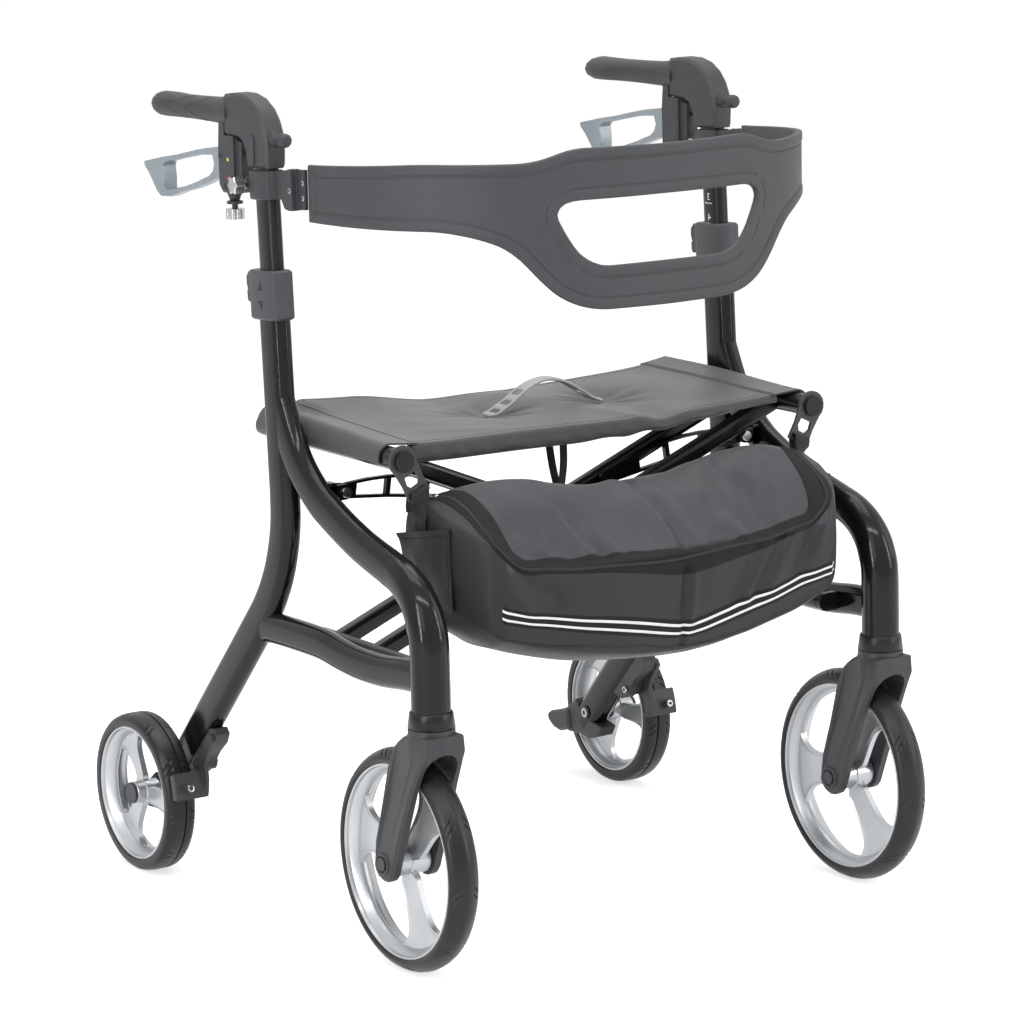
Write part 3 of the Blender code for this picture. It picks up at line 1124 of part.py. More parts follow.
def bag_section(x):
    """The bag seen from the side, x across: (Y, Z) from the rear bottom round the front to the lid."""
    away = abs(x) * BAG_PATTERN / BAG_HALF
    turn = max(0.0, (away - 222 * mm) / (36 * mm))
    front = -352 * mm + 18 * mm * (away / (226 * mm)) ** 2 + 46 * mm * turn ** 2
    floor = 334 * mm + 37 * mm * (away / (222 * mm)) ** 2 + 14 * mm * turn
    seam = 447 * mm + 7 * mm * ease(away, 120 * mm, 190 * mm) + 46 * mm * ease(away, 185 * mm, 268 * mm)
    crest = 512.5 * mm + 19 * mm * ease(away, 30 * mm, 190 * mm) - 14 * mm * ease(away, 195 * mm, 265 * mm)
    depth = BAG_BACK_Y - front
    return [(BAG_BACK_Y, floor + 12 * mm), (BAG_BACK_Y - depth * 0.3, floor - 10 * mm),
            (front + depth * 0.33, floor - 12 * mm), (front + 12 * mm, floor),
            (front + 2 * mm, floor + 14 * mm), (front, (floor + seam) / 2),
            (front + 3 * mm, seam - 8 * mm), (front + 14 * mm, seam + 6 * mm),
            (front + depth * 0.34, seam + (crest - seam) * 0.62), (front + depth * 0.64, crest),
            (BAG_BACK_Y - depth * 0.14, crest - 7 * mm), (BAG_BACK_Y, crest - 34 * mm)]


def make_bag():
    """The bag's outline with the two tabs that hang it from the hangers."""
    half = [BAG_HALF / BAG_PATTERN * a * mm for a in (0, 50, 95, 130, 165, 195, 222, 240, 252, 258)]
    rings = [[(x, y, z) for y, z in bag_section(x)] for x in [-x for x in half[:0:-1]] + half]
    solid = loft(rings)
    for name, side in SIDES:
        low = HANGER_FRONT_Y - SEAT_GAP - 2 * mm
        tab = [(-11 * mm, -36 * mm), (-11 * mm, -72 * mm), (11 * mm, -72 * mm), (11 * mm, -36 * mm)]
        solid = union(solid, prism(tab, low, low + 2 * mm, hanger_place(side)))
    add_object("bag", solid, (CLOTH_BLACK, 0.6, 0.0))


def band_point(angle):
    """A point of the backrest's outer face in plan, at an angle from the right bracket."""
    c, s = math.cos(angle), math.sin(angle)
    x = -BAND_HALF * math.copysign(abs(c) ** (2 / BAND_BOW), c)
    return Vector((x, BAND_BACK_Y - BAND_REACH * s ** (2 / BAND_BOW)))


def band_height(x, points):
    """The height of an edge at x, along straight stretches between (|x|, height) points."""
    away = abs(x) * BAND_PATTERN / BAND_HALF
    for (a, low), (b, high) in zip(points, points[1:]):
        if away <= b:
            return low + (high - low) * (away - a) / (b - a)
    return points[-1][1]


def make_backrest():
    """A band between the two brackets, deep in the middle, with a large window."""
    first = math.asin(((BAND_BACK_Y - BAND_START_Y) / BAND_REACH) ** (BAND_BOW / 2))
    last = BAND_STATIONS - 1
    points = [band_point(first + (math.pi - 2 * first) * i / last) for i in range(BAND_STATIONS)]
    upper = outline_mm([(0, -26), (118, -24), (143, -33), (165, -38), (260, -38), (302, -49)], GRIP_Z)
    lower = outline_mm([(0, -204), (92, -203), (127, -192), (150, -173), (183, -133), (213, -119),
                        (245, -111), (302, -113)], GRIP_Z)
    rings = []
    for i, point in enumerate(points):
        ahead = (points[min(i + 1, last)] - points[max(i - 1, 0)]).normalized()
        inward = Vector((-ahead.y, ahead.x)) * BAND_THICKNESS
        low, high = band_height(point.x, lower), band_height(point.x, upper)
        soft = 3 * mm
        ring = []
        for depth, z in ((0, low + soft), (0.35, low), (0.65, low), (1, low + soft), (1, high - soft),
                         (0.65, high), (0.35, high), (0, high - soft)):
            where = point + inward * depth
            ring.append((where.x, where.y, z))
        rings.append(ring)
    half = [(120, -81), (130, -85), (135, -96), (128, -112), (119, -128), (109, -141), (92, -151), (75, -155)]
    window = outline_mm(half + [(-x, z) for x, z in half[::-1]], GRIP_Z)
    opening = prism(window, -420 * mm, -200 * mm, lambda a, b, h: (a, h, b))
    add_object("backrest_band", cut(loft(rings), opening), (PLASTIC, 0.6, 0.0))


def build():
    for name, side in SIDES:
        make_side_frame(name, side)
        make_pivot_rod(name, side)
        make_clamp(name, side)
        make_post(name, side)
        make_arch(name, side)
        make_grip(name, side)
        make_brake_housing(name, side)
        make_brake_lever(name, side)
        make_adjuster(name, side)
        make_brake_cable(name, side)
        make_back_bracket(name, side)
        make_rear_foot(name, side)
        make_brake_bracket(name, side)
        make_brake_shoe(name, side)
        make_rear_wheel(name, side)
        make_fork(name, side)
        make_front_wheel(name, side)
        make_truss_link(name, side)
        make_bag_hanger(name, side)
    make_cross_member("cross_member_a", -1, BRACE_A_Y, True)
    make_cross_member("cross_member_b", 1, BRACE_B_Y, False)
    make_seat()
    make_pull_strap()
    make_bag()
    make_backrest()


build()
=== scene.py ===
# %% [markdown]
# # A bariatric rollator, dressed for its picture
#
# A rollator is a walking frame on four wheels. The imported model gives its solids: two side frames, a
# scissor cross-brace that folds them together, height posts with handles and brakes, a seat, a bag and
# a back band. This notebook gives each of them the finish of the real one, and builds again the pieces
# whose looks need more than a plain solid has.
# %% Load the solids
import json
import math

import bmesh
import bpy
import numpy as np
from mathutils import Matrix, Vector, noise
from mathutils.bvhtree import BVHTree

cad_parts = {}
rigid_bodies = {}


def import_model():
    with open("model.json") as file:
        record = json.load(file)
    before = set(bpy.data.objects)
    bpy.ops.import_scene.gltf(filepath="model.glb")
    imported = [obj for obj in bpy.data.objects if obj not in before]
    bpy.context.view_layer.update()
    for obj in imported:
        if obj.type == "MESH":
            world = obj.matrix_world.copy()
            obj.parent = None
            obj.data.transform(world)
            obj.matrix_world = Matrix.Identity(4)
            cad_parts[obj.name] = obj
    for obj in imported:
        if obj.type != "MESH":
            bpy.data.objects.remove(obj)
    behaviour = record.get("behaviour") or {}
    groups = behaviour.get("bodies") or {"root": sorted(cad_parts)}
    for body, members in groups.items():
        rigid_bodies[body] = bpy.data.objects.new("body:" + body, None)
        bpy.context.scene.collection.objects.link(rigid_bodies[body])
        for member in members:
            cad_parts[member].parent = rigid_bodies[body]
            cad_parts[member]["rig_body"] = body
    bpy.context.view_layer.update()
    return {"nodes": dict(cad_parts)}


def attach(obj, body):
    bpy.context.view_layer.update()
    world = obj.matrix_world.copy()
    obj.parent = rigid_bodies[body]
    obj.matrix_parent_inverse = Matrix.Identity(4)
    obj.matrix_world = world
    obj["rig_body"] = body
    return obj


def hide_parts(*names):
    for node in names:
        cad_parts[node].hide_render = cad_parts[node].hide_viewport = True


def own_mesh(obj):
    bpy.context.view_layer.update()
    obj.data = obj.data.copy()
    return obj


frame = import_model()
nodes = frame["nodes"]
mm = 0.001
SIDES = (("right", -1), ("left", 1))     # the user's right is at -X

# %% [markdown]
# ## Camera
#
# A long lens from the front and a little above keeps the four wheels at nearly one size, as a
# catalogue photograph does. The camera is turned about its own line of sight by about a degree.
# %% Camera
CAMERA_PLACE = Vector((-2.687, -4.16975, 1.4169))
CAMERA_RIGHT = Vector((0.8379, -0.5454, -0.0202)).normalized()
CAMERA_UP = Vector((0.122, 0.1511, 0.981)).normalized()
FOCAL_LENGTH = 150.45

camera_data = bpy.data.cameras.new("camera")
camera_data.lens = FOCAL_LENGTH
camera_data.sensor_width = 36
camera_data.clip_end = 60
camera = bpy.data.objects.new("camera", camera_data)
backwards = CAMERA_RIGHT.cross(CAMERA_UP)
camera.matrix_world = Matrix.Translation(CAMERA_PLACE) @ Matrix(
    (CAMERA_RIGHT, backwards.cross(CAMERA_RIGHT), backwards)).transposed().to_4x4()
bpy.context.collection.objects.link(camera)
bpy.context.scene.camera = camera
bpy.context.scene.view_settings.view_transform = "Standard"
print("camera", round(CAMERA_PLACE.length, 2), "m from the middle of the floor")

# %% [markdown]
# ## Floor, lamps and sky
#
# The studio is white all round. Its floor is a plain matt sheet that takes a soft shadow. What the
# camera and the gloss see of floor and sky is lifted to paper white, which puts no more light on the
# object. Three broad lamps give black tubes their long highlights.
# %% Floor
FLOOR_HALF = 14.0


def principled(name, colour=(0.8, 0.8, 0.8), roughness=0.5, metallic=0.0):
    """A material with one Principled shader, and that shader."""
    made = bpy.data.materials.new(name)
    made.use_nodes = True
    shader = made.node_tree.nodes["Principled BSDF"]
    shader.inputs["Base Color"].default_value = (*colour, 1)
    shader.inputs["Roughness"].default_value = roughness
    shader.inputs["Metallic"].default_value = metallic
    return made, shader


def seen_directly(tree):
    """1 for what the camera, a reflection or a clear material sees, and 0 for light on its way."""
    path = tree.nodes.new("ShaderNodeLightPath")
    first = tree.nodes.new("ShaderNodeMath")
    second = tree.nodes.new("ShaderNodeMath")
    for step, a, b in ((first, path.outputs["Is Camera Ray"], path.outputs["Is Glossy Ray"]),
                       (second, first.outputs[0], path.outputs["Is Transmission Ray"])):
        step.operation = "MAXIMUM"
        tree.links.new(a, step.inputs[0])
        tree.links.new(b, step.inputs[1])
    return second.outputs[0]


floor_mesh = bmesh.new()
bmesh.ops.create_grid(floor_mesh, x_segments=1, y_segments=1, size=FLOOR_HALF)
floor_data = bpy.data.meshes.new("floor")
floor_mesh.to_mesh(floor_data)
floor_mesh.free()
floor = bpy.data.objects.new("floor", floor_data)
bpy.context.collection.objects.link(floor)
paper, paper_shader = principled("paper_floor", (0.86, 0.86, 0.86), 0.95)
paper_shader.inputs["Emission Color"].default_value = (1, 1, 1, 1)
lift = paper.node_tree.nodes.new("ShaderNodeMath")
lift.operation = "MULTIPLY"
lift.inputs[1].default_value = 0.6
paper.node_tree.links.new(seen_directly(paper.node_tree), lift.inputs[0])
paper.node_tree.links.new(lift.outputs[0], paper_shader.inputs["Emission Strength"])
floor_data.materials.append(paper)
print("floor", 2 * FLOOR_HALF, "m across")

# %% [markdown]
# The sky lights everything evenly at less than half strength, and is white where it is looked at. Broad
# lamps show the form, and narrow ones draw long bright lines on the tubes and rims.
# %% Sky and lamps
SKY_LIGHT = 0.42
LAMPS = {
    # name: (place, aimed at, width, height, watts)
    "broad_left": ((-3.4, -2.2, 2.4), (0, 0, 0.5), 2.0, 2.0, 22),
    "broad_right": ((3.4, -1.6, 2.2), (0, 0, 0.5), 1.6, 2.6, 18),
    "overhead": ((0.2, 0.4, 3.6), (0, 0, 0.4), 2.4, 2.4, 48),
    "strip_left": ((-3.3, -1.3, 1.5), (0, 0, 0.6), 0.16, 2.4, 46),
    "strip_right": ((2.3, -2.9, 1.6), (0, 0, 0.6), 0.16, 2.4, 36),
    "strip_top": ((-0.9, -1.9, 3.1), (0, -0.1, 0.4), 3.2, 0.16, 34),
}

world = bpy.data.worlds.new("studio")
bpy.context.scene.world = world
world.use_nodes = True
sky = world.node_tree.nodes["Background"]
sky.inputs["Color"].default_value = (1, 1, 1, 1)
level = world.node_tree.nodes.new("ShaderNodeMapRange")
level.inputs["To Min"].default_value = SKY_LIGHT
level.inputs["To Max"].default_value = 1.0
world.node_tree.links.new(seen_directly(world.node_tree), level.inputs["Value"])
world.node_tree.links.new(level.outputs["Result"], sky.inputs["Strength"])

for lamp_name, (place, target, width, height, watts) in LAMPS.items():
    lamp_data = bpy.data.lights.new(lamp_name, "AREA")
    lamp_data.shape = "RECTANGLE"
    lamp_data.size, lamp_data.size_y = width, height
    lamp_data.energy = watts
    lamp = bpy.data.objects.new(lamp_name, lamp_data)
    aim = (Vector(target) - Vector(place)).to_track_quat("-Z", "Y")
    lamp.matrix_world = Matrix.Translation(place) @ aim.to_matrix().to_4x4()
    bpy.context.collection.objects.link(lamp)
print(len(LAMPS), "lamps")

# %% [markdown]
# ## Shared effects
#
# Moulded plastic, powder coat, rubber and cloth differ mostly in a few small effects: a fine grain, a slow
# drift of the colour, a weave, a hide's pattern. Each is a node group with named sockets, made once, and
# placed in each finish with its own values. All of them read Object coordinates, so the pattern has one real
# size on every piece and stays with the piece when it moves.
# %% Helpers for node groups


def new_group(name, inputs, outputs):
    """A node group, its inner input node and its inner output node. An output called Colour is a colour."""
    tree = bpy.data.node_groups.new(name, "ShaderNodeTree")
    for label, value in inputs:
        kind = "NodeSocketColor" if isinstance(value, tuple) else "NodeSocketFloat"
        tree.interface.new_socket(label, in_out="INPUT", socket_type=kind).default_value = value
    for label in outputs:
        kind = "NodeSocketColor" if label == "Colour" else "NodeSocketFloat"
        tree.interface.new_socket(label, in_out="OUTPUT", socket_type=kind)
    return tree, tree.nodes.new("NodeGroupInput"), tree.nodes.new("NodeGroupOutput")


def set_or_link(tree, value, socket):
    """Puts a number in a socket, or links another socket to it."""
    if isinstance(value, (int, float)):
        socket.default_value = value
    else:
        tree.links.new(value, socket)


def noise_on_object(tree, scale, detail=2.0, roughness=0.5):
    """A noise texture on Object coordinates, whose scale is a socket or a number."""
    where = tree.nodes.new("ShaderNodeTexCoord")
    cloud = tree.nodes.new("ShaderNodeTexNoise")
    cloud.inputs["Detail"].default_value = detail
    cloud.inputs["Roughness"].default_value = roughness
    tree.links.new(where.outputs["Object"], cloud.inputs["Vector"])
    set_or_link(tree, scale, cloud.inputs["Scale"])
    return cloud.outputs["Fac"]


def mixed(tree, factor, first, second):
    """first and second, which are colour sockets, mixed by factor."""
    mix = tree.nodes.new("ShaderNodeMix")
    mix.data_type = "RGBA"
    for label, source in (("Factor", factor), ("A", first), ("B", second)):
        tree.links.new(source, mix.inputs[label])
    return mix.outputs["Result"]


def ranged(tree, value, low, high, to_low, to_high):
    """value from low..high to to_low..to_high; each end is a number or a socket."""
    node = tree.nodes.new("ShaderNodeMapRange")
    tree.links.new(value, node.inputs["Value"])
    for label, end in (("From Min", low), ("From Max", high), ("To Min", to_low), ("To Max", to_high)):
        set_or_link(tree, end, node.inputs[label])
    return node.outputs["Result"]


print("helpers for node groups")

# %% Colour drift, grains and dust
drift, inside, outside = new_group(
    "colour_drift", [("Colour", (0.5, 0.5, 0.5, 1)), ("Other colour", (0.4, 0.4, 0.4, 1)),
                     ("Patches per metre", 12.0), ("Low roughness", 0.4), ("High roughness", 0.5)],
    ["Colour", "Roughness"])
slow = noise_on_object(drift, inside.outputs["Patches per metre"], 3.0, 0.6)
eased = ranged(drift, slow, 0.35, 0.65, 0.0, 1.0)
drift.links.new(mixed(drift, eased, inside.outputs["Colour"], inside.outputs["Other colour"]),
                outside.inputs["Colour"])
rougher = ranged(drift, slow, 0.3, 0.7, inside.outputs["Low roughness"], inside.outputs["High roughness"])
drift.links.new(rougher, outside.inputs["Roughness"])

grain, inside, outside = new_group("fine_grain", [("Count per metre", 900.0)], ["Height"])
fine = noise_on_object(grain, inside.outputs["Count per metre"], 2.0, 0.6)
grain.links.new(ranged(grain, fine, 0.3, 0.7, 0.0, 1.0), outside.inputs["Height"])

hide, inside, outside = new_group("hide_grain", [("Count per metre", 420.0)], ["Height"])
where = hide.nodes.new("ShaderNodeTexCoord")
cells = hide.nodes.new("ShaderNodeTexVoronoi")
cells.feature = "DISTANCE_TO_EDGE"
hide.links.new(where.outputs["Object"], cells.inputs["Vector"])
hide.links.new(inside.outputs["Count per metre"], cells.inputs["Scale"])
plateau = ranged(hide, cells.outputs["Distance"], 0.0, 0.16, 0.0, 1.0)
hide.links.new(plateau, outside.inputs["Height"])

weave, inside, outside = new_group("woven_threads", [("Count per metre", 700.0)], ["Height"])
where = weave.nodes.new("ShaderNodeUVMap")
where.uv_map = "cloth"
crossing = weave.nodes.new("ShaderNodeMath")
crossing.operation = "MAXIMUM"
for direction, highest in (("X", crossing.inputs[0]), ("Y", crossing.inputs[1])):
    wave = weave.nodes.new("ShaderNodeTexWave")
    wave.bands_direction = direction
    wave.inputs["Distortion"].default_value = 0.6
    wave.inputs["Detail"].default_value = 1.0
    weave.links.new(where.outputs["UV"], wave.inputs["Vector"])
    weave.links.new(inside.outputs["Count per metre"], wave.inputs["Scale"])
    weave.links.new(wave.outputs["Fac"], highest)
weave.links.new(crossing.outputs[0], outside.inputs["Height"])

dust, inside, outside = new_group(
    "settled_dust", [("Colour", (0.1, 0.1, 0.1, 1)), ("Dust", (0.5, 0.49, 0.47, 1)), ("Amount", 0.05)],
    ["Colour"])
facing = dust.nodes.new("ShaderNodeNewGeometry")
split = dust.nodes.new("ShaderNodeSeparateXYZ")
dust.links.new(facing.outputs["Normal"], split.inputs["Vector"])
upward = ranged(dust, split.outputs["Z"], 0.3, 1.0, 0.0, inside.outputs["Amount"])
patchy = dust.nodes.new("ShaderNodeMath")
patchy.operation = "MULTIPLY"
dust.links.new(upward, patchy.inputs[0])
dust.links.new(noise_on_object(dust, 60.0, 4.0, 0.7), patchy.inputs[1])
dust.links.new(mixed(dust, patchy.outputs[0], inside.outputs["Colour"], inside.outputs["Dust"]),
               outside.inputs["Colour"])
print([g.name for g in bpy.data.node_groups])

# %% [markdown]
# ## Finishes
#
# Every finish is built the same way: the colour drifts a little between two near values, the
# roughness drifts with it, dust settles where a face looks up, and a bump carries the grain. The
# tubes are gloss black paint, the mouldings are grained nylon, and the rims are satin painted
# aluminium.
# %% A finish from its values


def placed(tree, group, **values):
    """A shader group in a material, with its sockets set. Underscores in the names stand for spaces."""
    node = tree.nodes.new("ShaderNodeGroup")
    node.node_tree = bpy.data.node_groups[group]
    for label, value in values.items():
        node.inputs[label.replace("_", " ")].default_value = value
    return node


def finish(name, colour, other, roughness, metallic=0.0, grains=900.0, depth=0.0, patches=12.0,
           dusty=0.04, group="fine_grain", sheen=0.0, ior=1.45):
    """A node material whose colour, roughness and pattern vary. roughness is (low, high).

    grains is how many grains, cells or threads of the pattern go in a metre, and depth is its height.
    """
    made, shader = principled(name, colour, roughness[0], metallic)
    tree = made.node_tree
    shader.inputs["Sheen Weight"].default_value = sheen
    shader.inputs["IOR"].default_value = ior
    colours = placed(tree, "colour_drift", Colour=(*colour, 1), Other_colour=(*other, 1),
                     Patches_per_metre=patches, Low_roughness=roughness[0], High_roughness=roughness[1])
    dusted = placed(tree, "settled_dust", Amount=dusty)
    tree.links.new(colours.outputs["Colour"], dusted.inputs["Colour"])
    tree.links.new(dusted.outputs["Colour"], shader.inputs["Base Color"])
    tree.links.new(colours.outputs["Roughness"], shader.inputs["Roughness"])
    if depth:
        pattern = placed(tree, group, Count_per_metre=grains)
        bump = tree.nodes.new("ShaderNodeBump")
        bump.inputs["Distance"].default_value = depth
        tree.links.new(pattern.outputs["Height"], bump.inputs["Height"])
        tree.links.new(bump.outputs["Normal"], shader.inputs["Normal"])
    return made


FINISHES = {
    "frame_black": finish("gloss_black_tube", (0.0052, 0.0053, 0.006), (0.0066, 0.0068, 0.0078), (0.1, 0.16),
                          ior=1.33, grains=500, depth=0.02 * mm, patches=5),
    "brace_black": finish("black_brace_paint", (0.006, 0.006, 0.007), (0.009, 0.009, 0.01), (0.18, 0.28),
                          ior=1.33, grains=700, depth=0.02 * mm, patches=8),
    "post_black": finish("satin_black_post", (0.008, 0.008, 0.009), (0.011, 0.011, 0.012), (0.26, 0.36),
                         ior=1.33, grains=900, depth=0.02 * mm, patches=8),
    "clamp_grey": finish("grey_clamp_nylon", (0.043, 0.046, 0.051), (0.051, 0.055, 0.06), (0.42, 0.54),
                         grains=1300, depth=0.05 * mm, patches=20),
    "moulding_dark": finish("dark_moulded_nylon", (0.028, 0.0295, 0.033), (0.035, 0.037, 0.041), (0.44, 0.56),
                            grains=1300, depth=0.06 * mm, patches=18),
    "grip_rubber": finish("soft_grip_rubber", (0.027, 0.028, 0.031), (0.036, 0.037, 0.041), (0.5, 0.62),
                          grains=1600, depth=0.06 * mm, patches=25, dusty=0.06),
    "lever_grey": finish("silver_grey_lever", (0.25, 0.285, 0.31), (0.3, 0.335, 0.36), (0.3, 0.42),
                         metallic=0.25, grains=900, depth=0.02 * mm, patches=15, dusty=0.0),
    "bright_metal": finish("plated_steel", (0.4, 0.41, 0.42), (0.48, 0.49, 0.5), (0.2, 0.32), metallic=1.0,
                           grains=600, depth=0.01 * mm, patches=40, dusty=0.0),
    "cable_black": finish("cable_jacket", (0.016, 0.016, 0.018), (0.024, 0.024, 0.026), (0.36, 0.46),
                          grains=900, depth=0.02 * mm, patches=30),
    "tyre_black": finish("black_tyre", (0.011, 0.011, 0.013), (0.016, 0.016, 0.018), (0.3, 0.44),
                         ior=1.36, grains=500, depth=0.04 * mm, patches=14, dusty=0.03),
    "rim_silver": finish("satin_silver_rim", (0.44, 0.455, 0.47), (0.52, 0.535, 0.55), (0.3, 0.42),
                         metallic=0.75, grains=700, depth=0.015 * mm, patches=10, dusty=0.0),
    "seat_fabric": finish("seat_nylon", (0.018, 0.018, 0.02), (0.025, 0.025, 0.027), (0.34, 0.45),
                          group="woven_threads", grains=420, depth=0.12 * mm, patches=10, sheen=0.22),
    "strap_grey": finish("light_grey_moulding", (0.33, 0.34, 0.35), (0.39, 0.4, 0.41), (0.4, 0.5),
                         grains=900, depth=0.03 * mm, patches=25, dusty=0.0),
    "bag_fabric": finish("bag_nylon", (0.006, 0.0065, 0.009), (0.01, 0.011, 0.014), (0.36, 0.5), ior=1.4,
                         group="woven_threads", grains=420, depth=0.12 * mm, patches=9, sheen=0.03),
    "backrest_skin": finish("grained_vinyl", (0.038, 0.04, 0.044), (0.047, 0.049, 0.054), (0.46, 0.58),
                            group="hide_grain", grains=650, depth=0.1 * mm, patches=14, dusty=0.02),
}
print(len(FINISHES), "finishes")

# %% [markdown]
# ## Smooth copies of the solids
#
# A solid's mesh is loose triangles with hard facets, and the frame's rules keep it as it is. A copy is
# merged, its flat triangles are joined, and it is shaded smooth except over real corners, which get a
# narrow bevel. A moulded corner is never sharp, and that bevel is what catches the light.
# %% Copying a solid


def piece_from(bm, name, look, body, sharp=40.0, standing_for=()):
    """A finished object at the origin from a bmesh, riding on a body. look is a finish or a material."""
    mesh = bpy.data.meshes.new(name)
    bm.to_mesh(mesh)
    bm.free()
    if "custom_normal" in mesh.attributes:
        mesh.attributes.remove(mesh.attributes["custom_normal"])
    mesh.materials.clear()
    mesh.shade_smooth()
    if sharp < 180:
        mesh.set_sharp_from_angle(angle=math.radians(sharp))
    mesh.materials.append(FINISHES[look] if look in FINISHES else bpy.data.materials[look])
    made = bpy.data.objects.new(name, mesh)
    bpy.context.collection.objects.link(made)
    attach(made, body)
    if standing_for:
        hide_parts(*standing_for)
    return made


def bevelled(made, width, angle=35.0):
    """A narrow round along the piece's corners."""
    bevel = made.modifiers.new("corner", "BEVEL")
    bevel.width = width
    bevel.segments = 2
    bevel.limit_method = "ANGLE"
    bevel.angle_limit = math.radians(angle)
    bevel.harden_normals = True
    bevel.use_clamp_overlap = False


def body_of(node):
    """The body that a CAD node rides on."""
    return nodes[node]["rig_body"]


def merged(node):
    """A CAD node's mesh as a bmesh with shared corners and joined flats."""
    bm = bmesh.new()
    bm.from_mesh(nodes[node].data)
    bmesh.ops.remove_doubles(bm, verts=bm.verts, dist=0.005 * mm)
    bmesh.ops.dissolve_limit(bm, angle_limit=math.radians(0.6), verts=bm.verts, edges=bm.edges)
    return bm


def smooth_copy(node, look, width):
    """A copy of a CAD node with smooth shading and narrow bevels, standing for it."""
    made = piece_from(merged(node), node + "_dressed", look, body_of(node), sharp=38, standing_for=(node,))
    if width:
        bevelled(made, width)


COPIES = {
    # node name without its side: (finish, bevel in mm)
    "pivot_rod": ("brace_black", 0.5), "height_clamp": ("clamp_grey", 0.7),
    "clamp_lever": ("clamp_grey", 0.6), "height_post": ("post_black", 0),
    "handle_arch": ("moulding_dark", 0.9), "hand_grip": ("grip_rubber", 0),
    "brake_housing": ("moulding_dark", 0.6), "brake_lever": ("lever_grey", 0.9),
    "cable_adjuster": ("bright_metal", 0.3), "brake_cable": ("cable_black", 0),
    "back_bracket": ("moulding_dark", 0.7), "star_screw": ("bright_metal", 0.4),
    "rear_foot": ("moulding_dark", 0.7), "brake_bracket": ("moulding_dark", 0.6),
    "brake_shoe": ("moulding_dark", 0.6), "rear_axle": ("moulding_dark", 0.3),
    "fork": ("moulding_dark", 0), "front_axle": ("moulding_dark", 0.5),
    "truss_link": ("brace_black", 0.5), "bag_hanger": ("moulding_dark", 0.5),
}
for node_part, (look, width) in COPIES.items():
    for side_name, _ in SIDES:
        smooth_copy(f"{side_name}_{node_part}", look, width * mm)
for node in ("cross_member_a", "cross_member_b"):
    smooth_copy(node, "brace_black", 0.5 * mm)

# %% [markdown]
# ## Swept tubes
#
# A leg is one bent tube. Its skin could be a curve with a profile, but the front leg swells from a flat
# oval to a round head, so a ring of points is placed at the start of the leg and extruded from station
# to station. Each station's ring has its own half depth and half width.
# %% Sweeping a ring


def spline_at(a, b, c, d, t):
    """A place between b and c on a smooth curve through a, b, c and d, t from 0 to 1."""
    return 0.5 * (2 * b + (c - a) * t + (2 * a - 5 * b + 4 * c - d) * t ** 2
                  + (3 * b - a - 3 * c + d) * t ** 3)


def through(points, spans):
    """A smooth path through points, with spans steps from each to the next."""
    vectors = [Vector(p) for p in points]
    ends = [2 * vectors[0] - vectors[1], *vectors, 2 * vectors[-1] - vectors[-2]]
    path = [spline_at(*four, i / spans) for four in zip(ends, ends[1:], ends[2:], ends[3:])
            for i in range(spans)]
    return [*path, vectors[-1]]


def evenly(first, last, steps):
    """Values from first to last in equal steps."""
    return [first + (last - first) * i / steps for i in range(steps + 1)]


def lengths_along(path):
    """How far each point of a path is from its start, along it."""
    lengths = [0.0]
    for a, b in zip(path, path[1:]):
        lengths.append(lengths[-1] + (b - a).length)
    return lengths


def ahead_at(path, i):
    """The way that a path runs at its point i."""
    return (path[min(i + 1, len(path) - 1)] - path[max(i - 1, 0)]).normalized()


def extruded_rings(stations, closed=False):
    """A bmesh skin: a circle put on the first ring of places and extruded on to every other ring."""
    bm = bmesh.new()
    ring = bmesh.ops.create_circle(bm, segments=len(stations[0]), radius=1.0)["verts"]
    edges = bm.edges[:]
    first = edges
    for vert, place in zip(ring, stations[0]):
        vert.co = place
    for station in stations[1:]:
        made = bmesh.ops.extrude_edge_only(bm, edges=edges)["geom"]
        fresh = {g for g in made if isinstance(g, bmesh.types.BMVert)}
        edges = [g for g in made if isinstance(g, bmesh.types.BMEdge) and set(g.verts) <= fresh]
        ring = [next(e.other_vert(v) for e in v.link_edges if e.other_vert(v) in fresh) for v in ring]
        for vert, place in zip(ring, station):
            vert.co = place
    if closed:
        bmesh.ops.bridge_loops(bm, edges=[*first, *edges])
    else:
        for loop in (first, edges):
            bmesh.ops.contextual_create(bm, geom=loop)
    bmesh.ops.recalc_face_normals(bm, faces=bm.faces)
    return bm


print("helpers for paths and rings")

# %% Sections and frame tubes


def oval(half_long, half_short, count):
    """A section with two straight sides and two round ends, as (long, short) places."""
    straight = max(0.0, half_long - half_short)
    places = []
    for i in range(count):
        angle = math.tau * (i + 0.5) / count
        places.append((half_short * math.cos(angle) + math.copysign(straight, math.cos(angle)),
                       half_short * math.sin(angle)))
    return places


def ease(value, low, high):
    """0 below low, 1 above high, and a smooth rise between."""
    t = min(1.0, max(0.0, (value - low) / (high - low)))
    return t * t * (3 - 2 * t)


def in_mm(points):
    """Points written in millimetres, as metres."""
    return [tuple(v * mm for v in point) for point in points]


FRAME_X = 308.7 * mm                     # the middle plane of a side frame


def frame_tube(path, halves, side, count):
    """Rings for a tube in a side frame's plane. halves(t) gives half the depth and half the width."""
    stations = []
    for i, point in enumerate(path):
        ahead = ahead_at(path, i)
        across = Vector((-ahead.y, ahead.x))
        ring = []
        for a, b in oval(*halves(i / (len(path) - 1)), count):
            place = point + across * a
            ring.append((side * FRAME_X + b, place.x, place.y))
        stations.append(ring)
    return stations


print(len(through([(0, 0), (1, 0), (2, 1)], 6)), "points in a short test path")

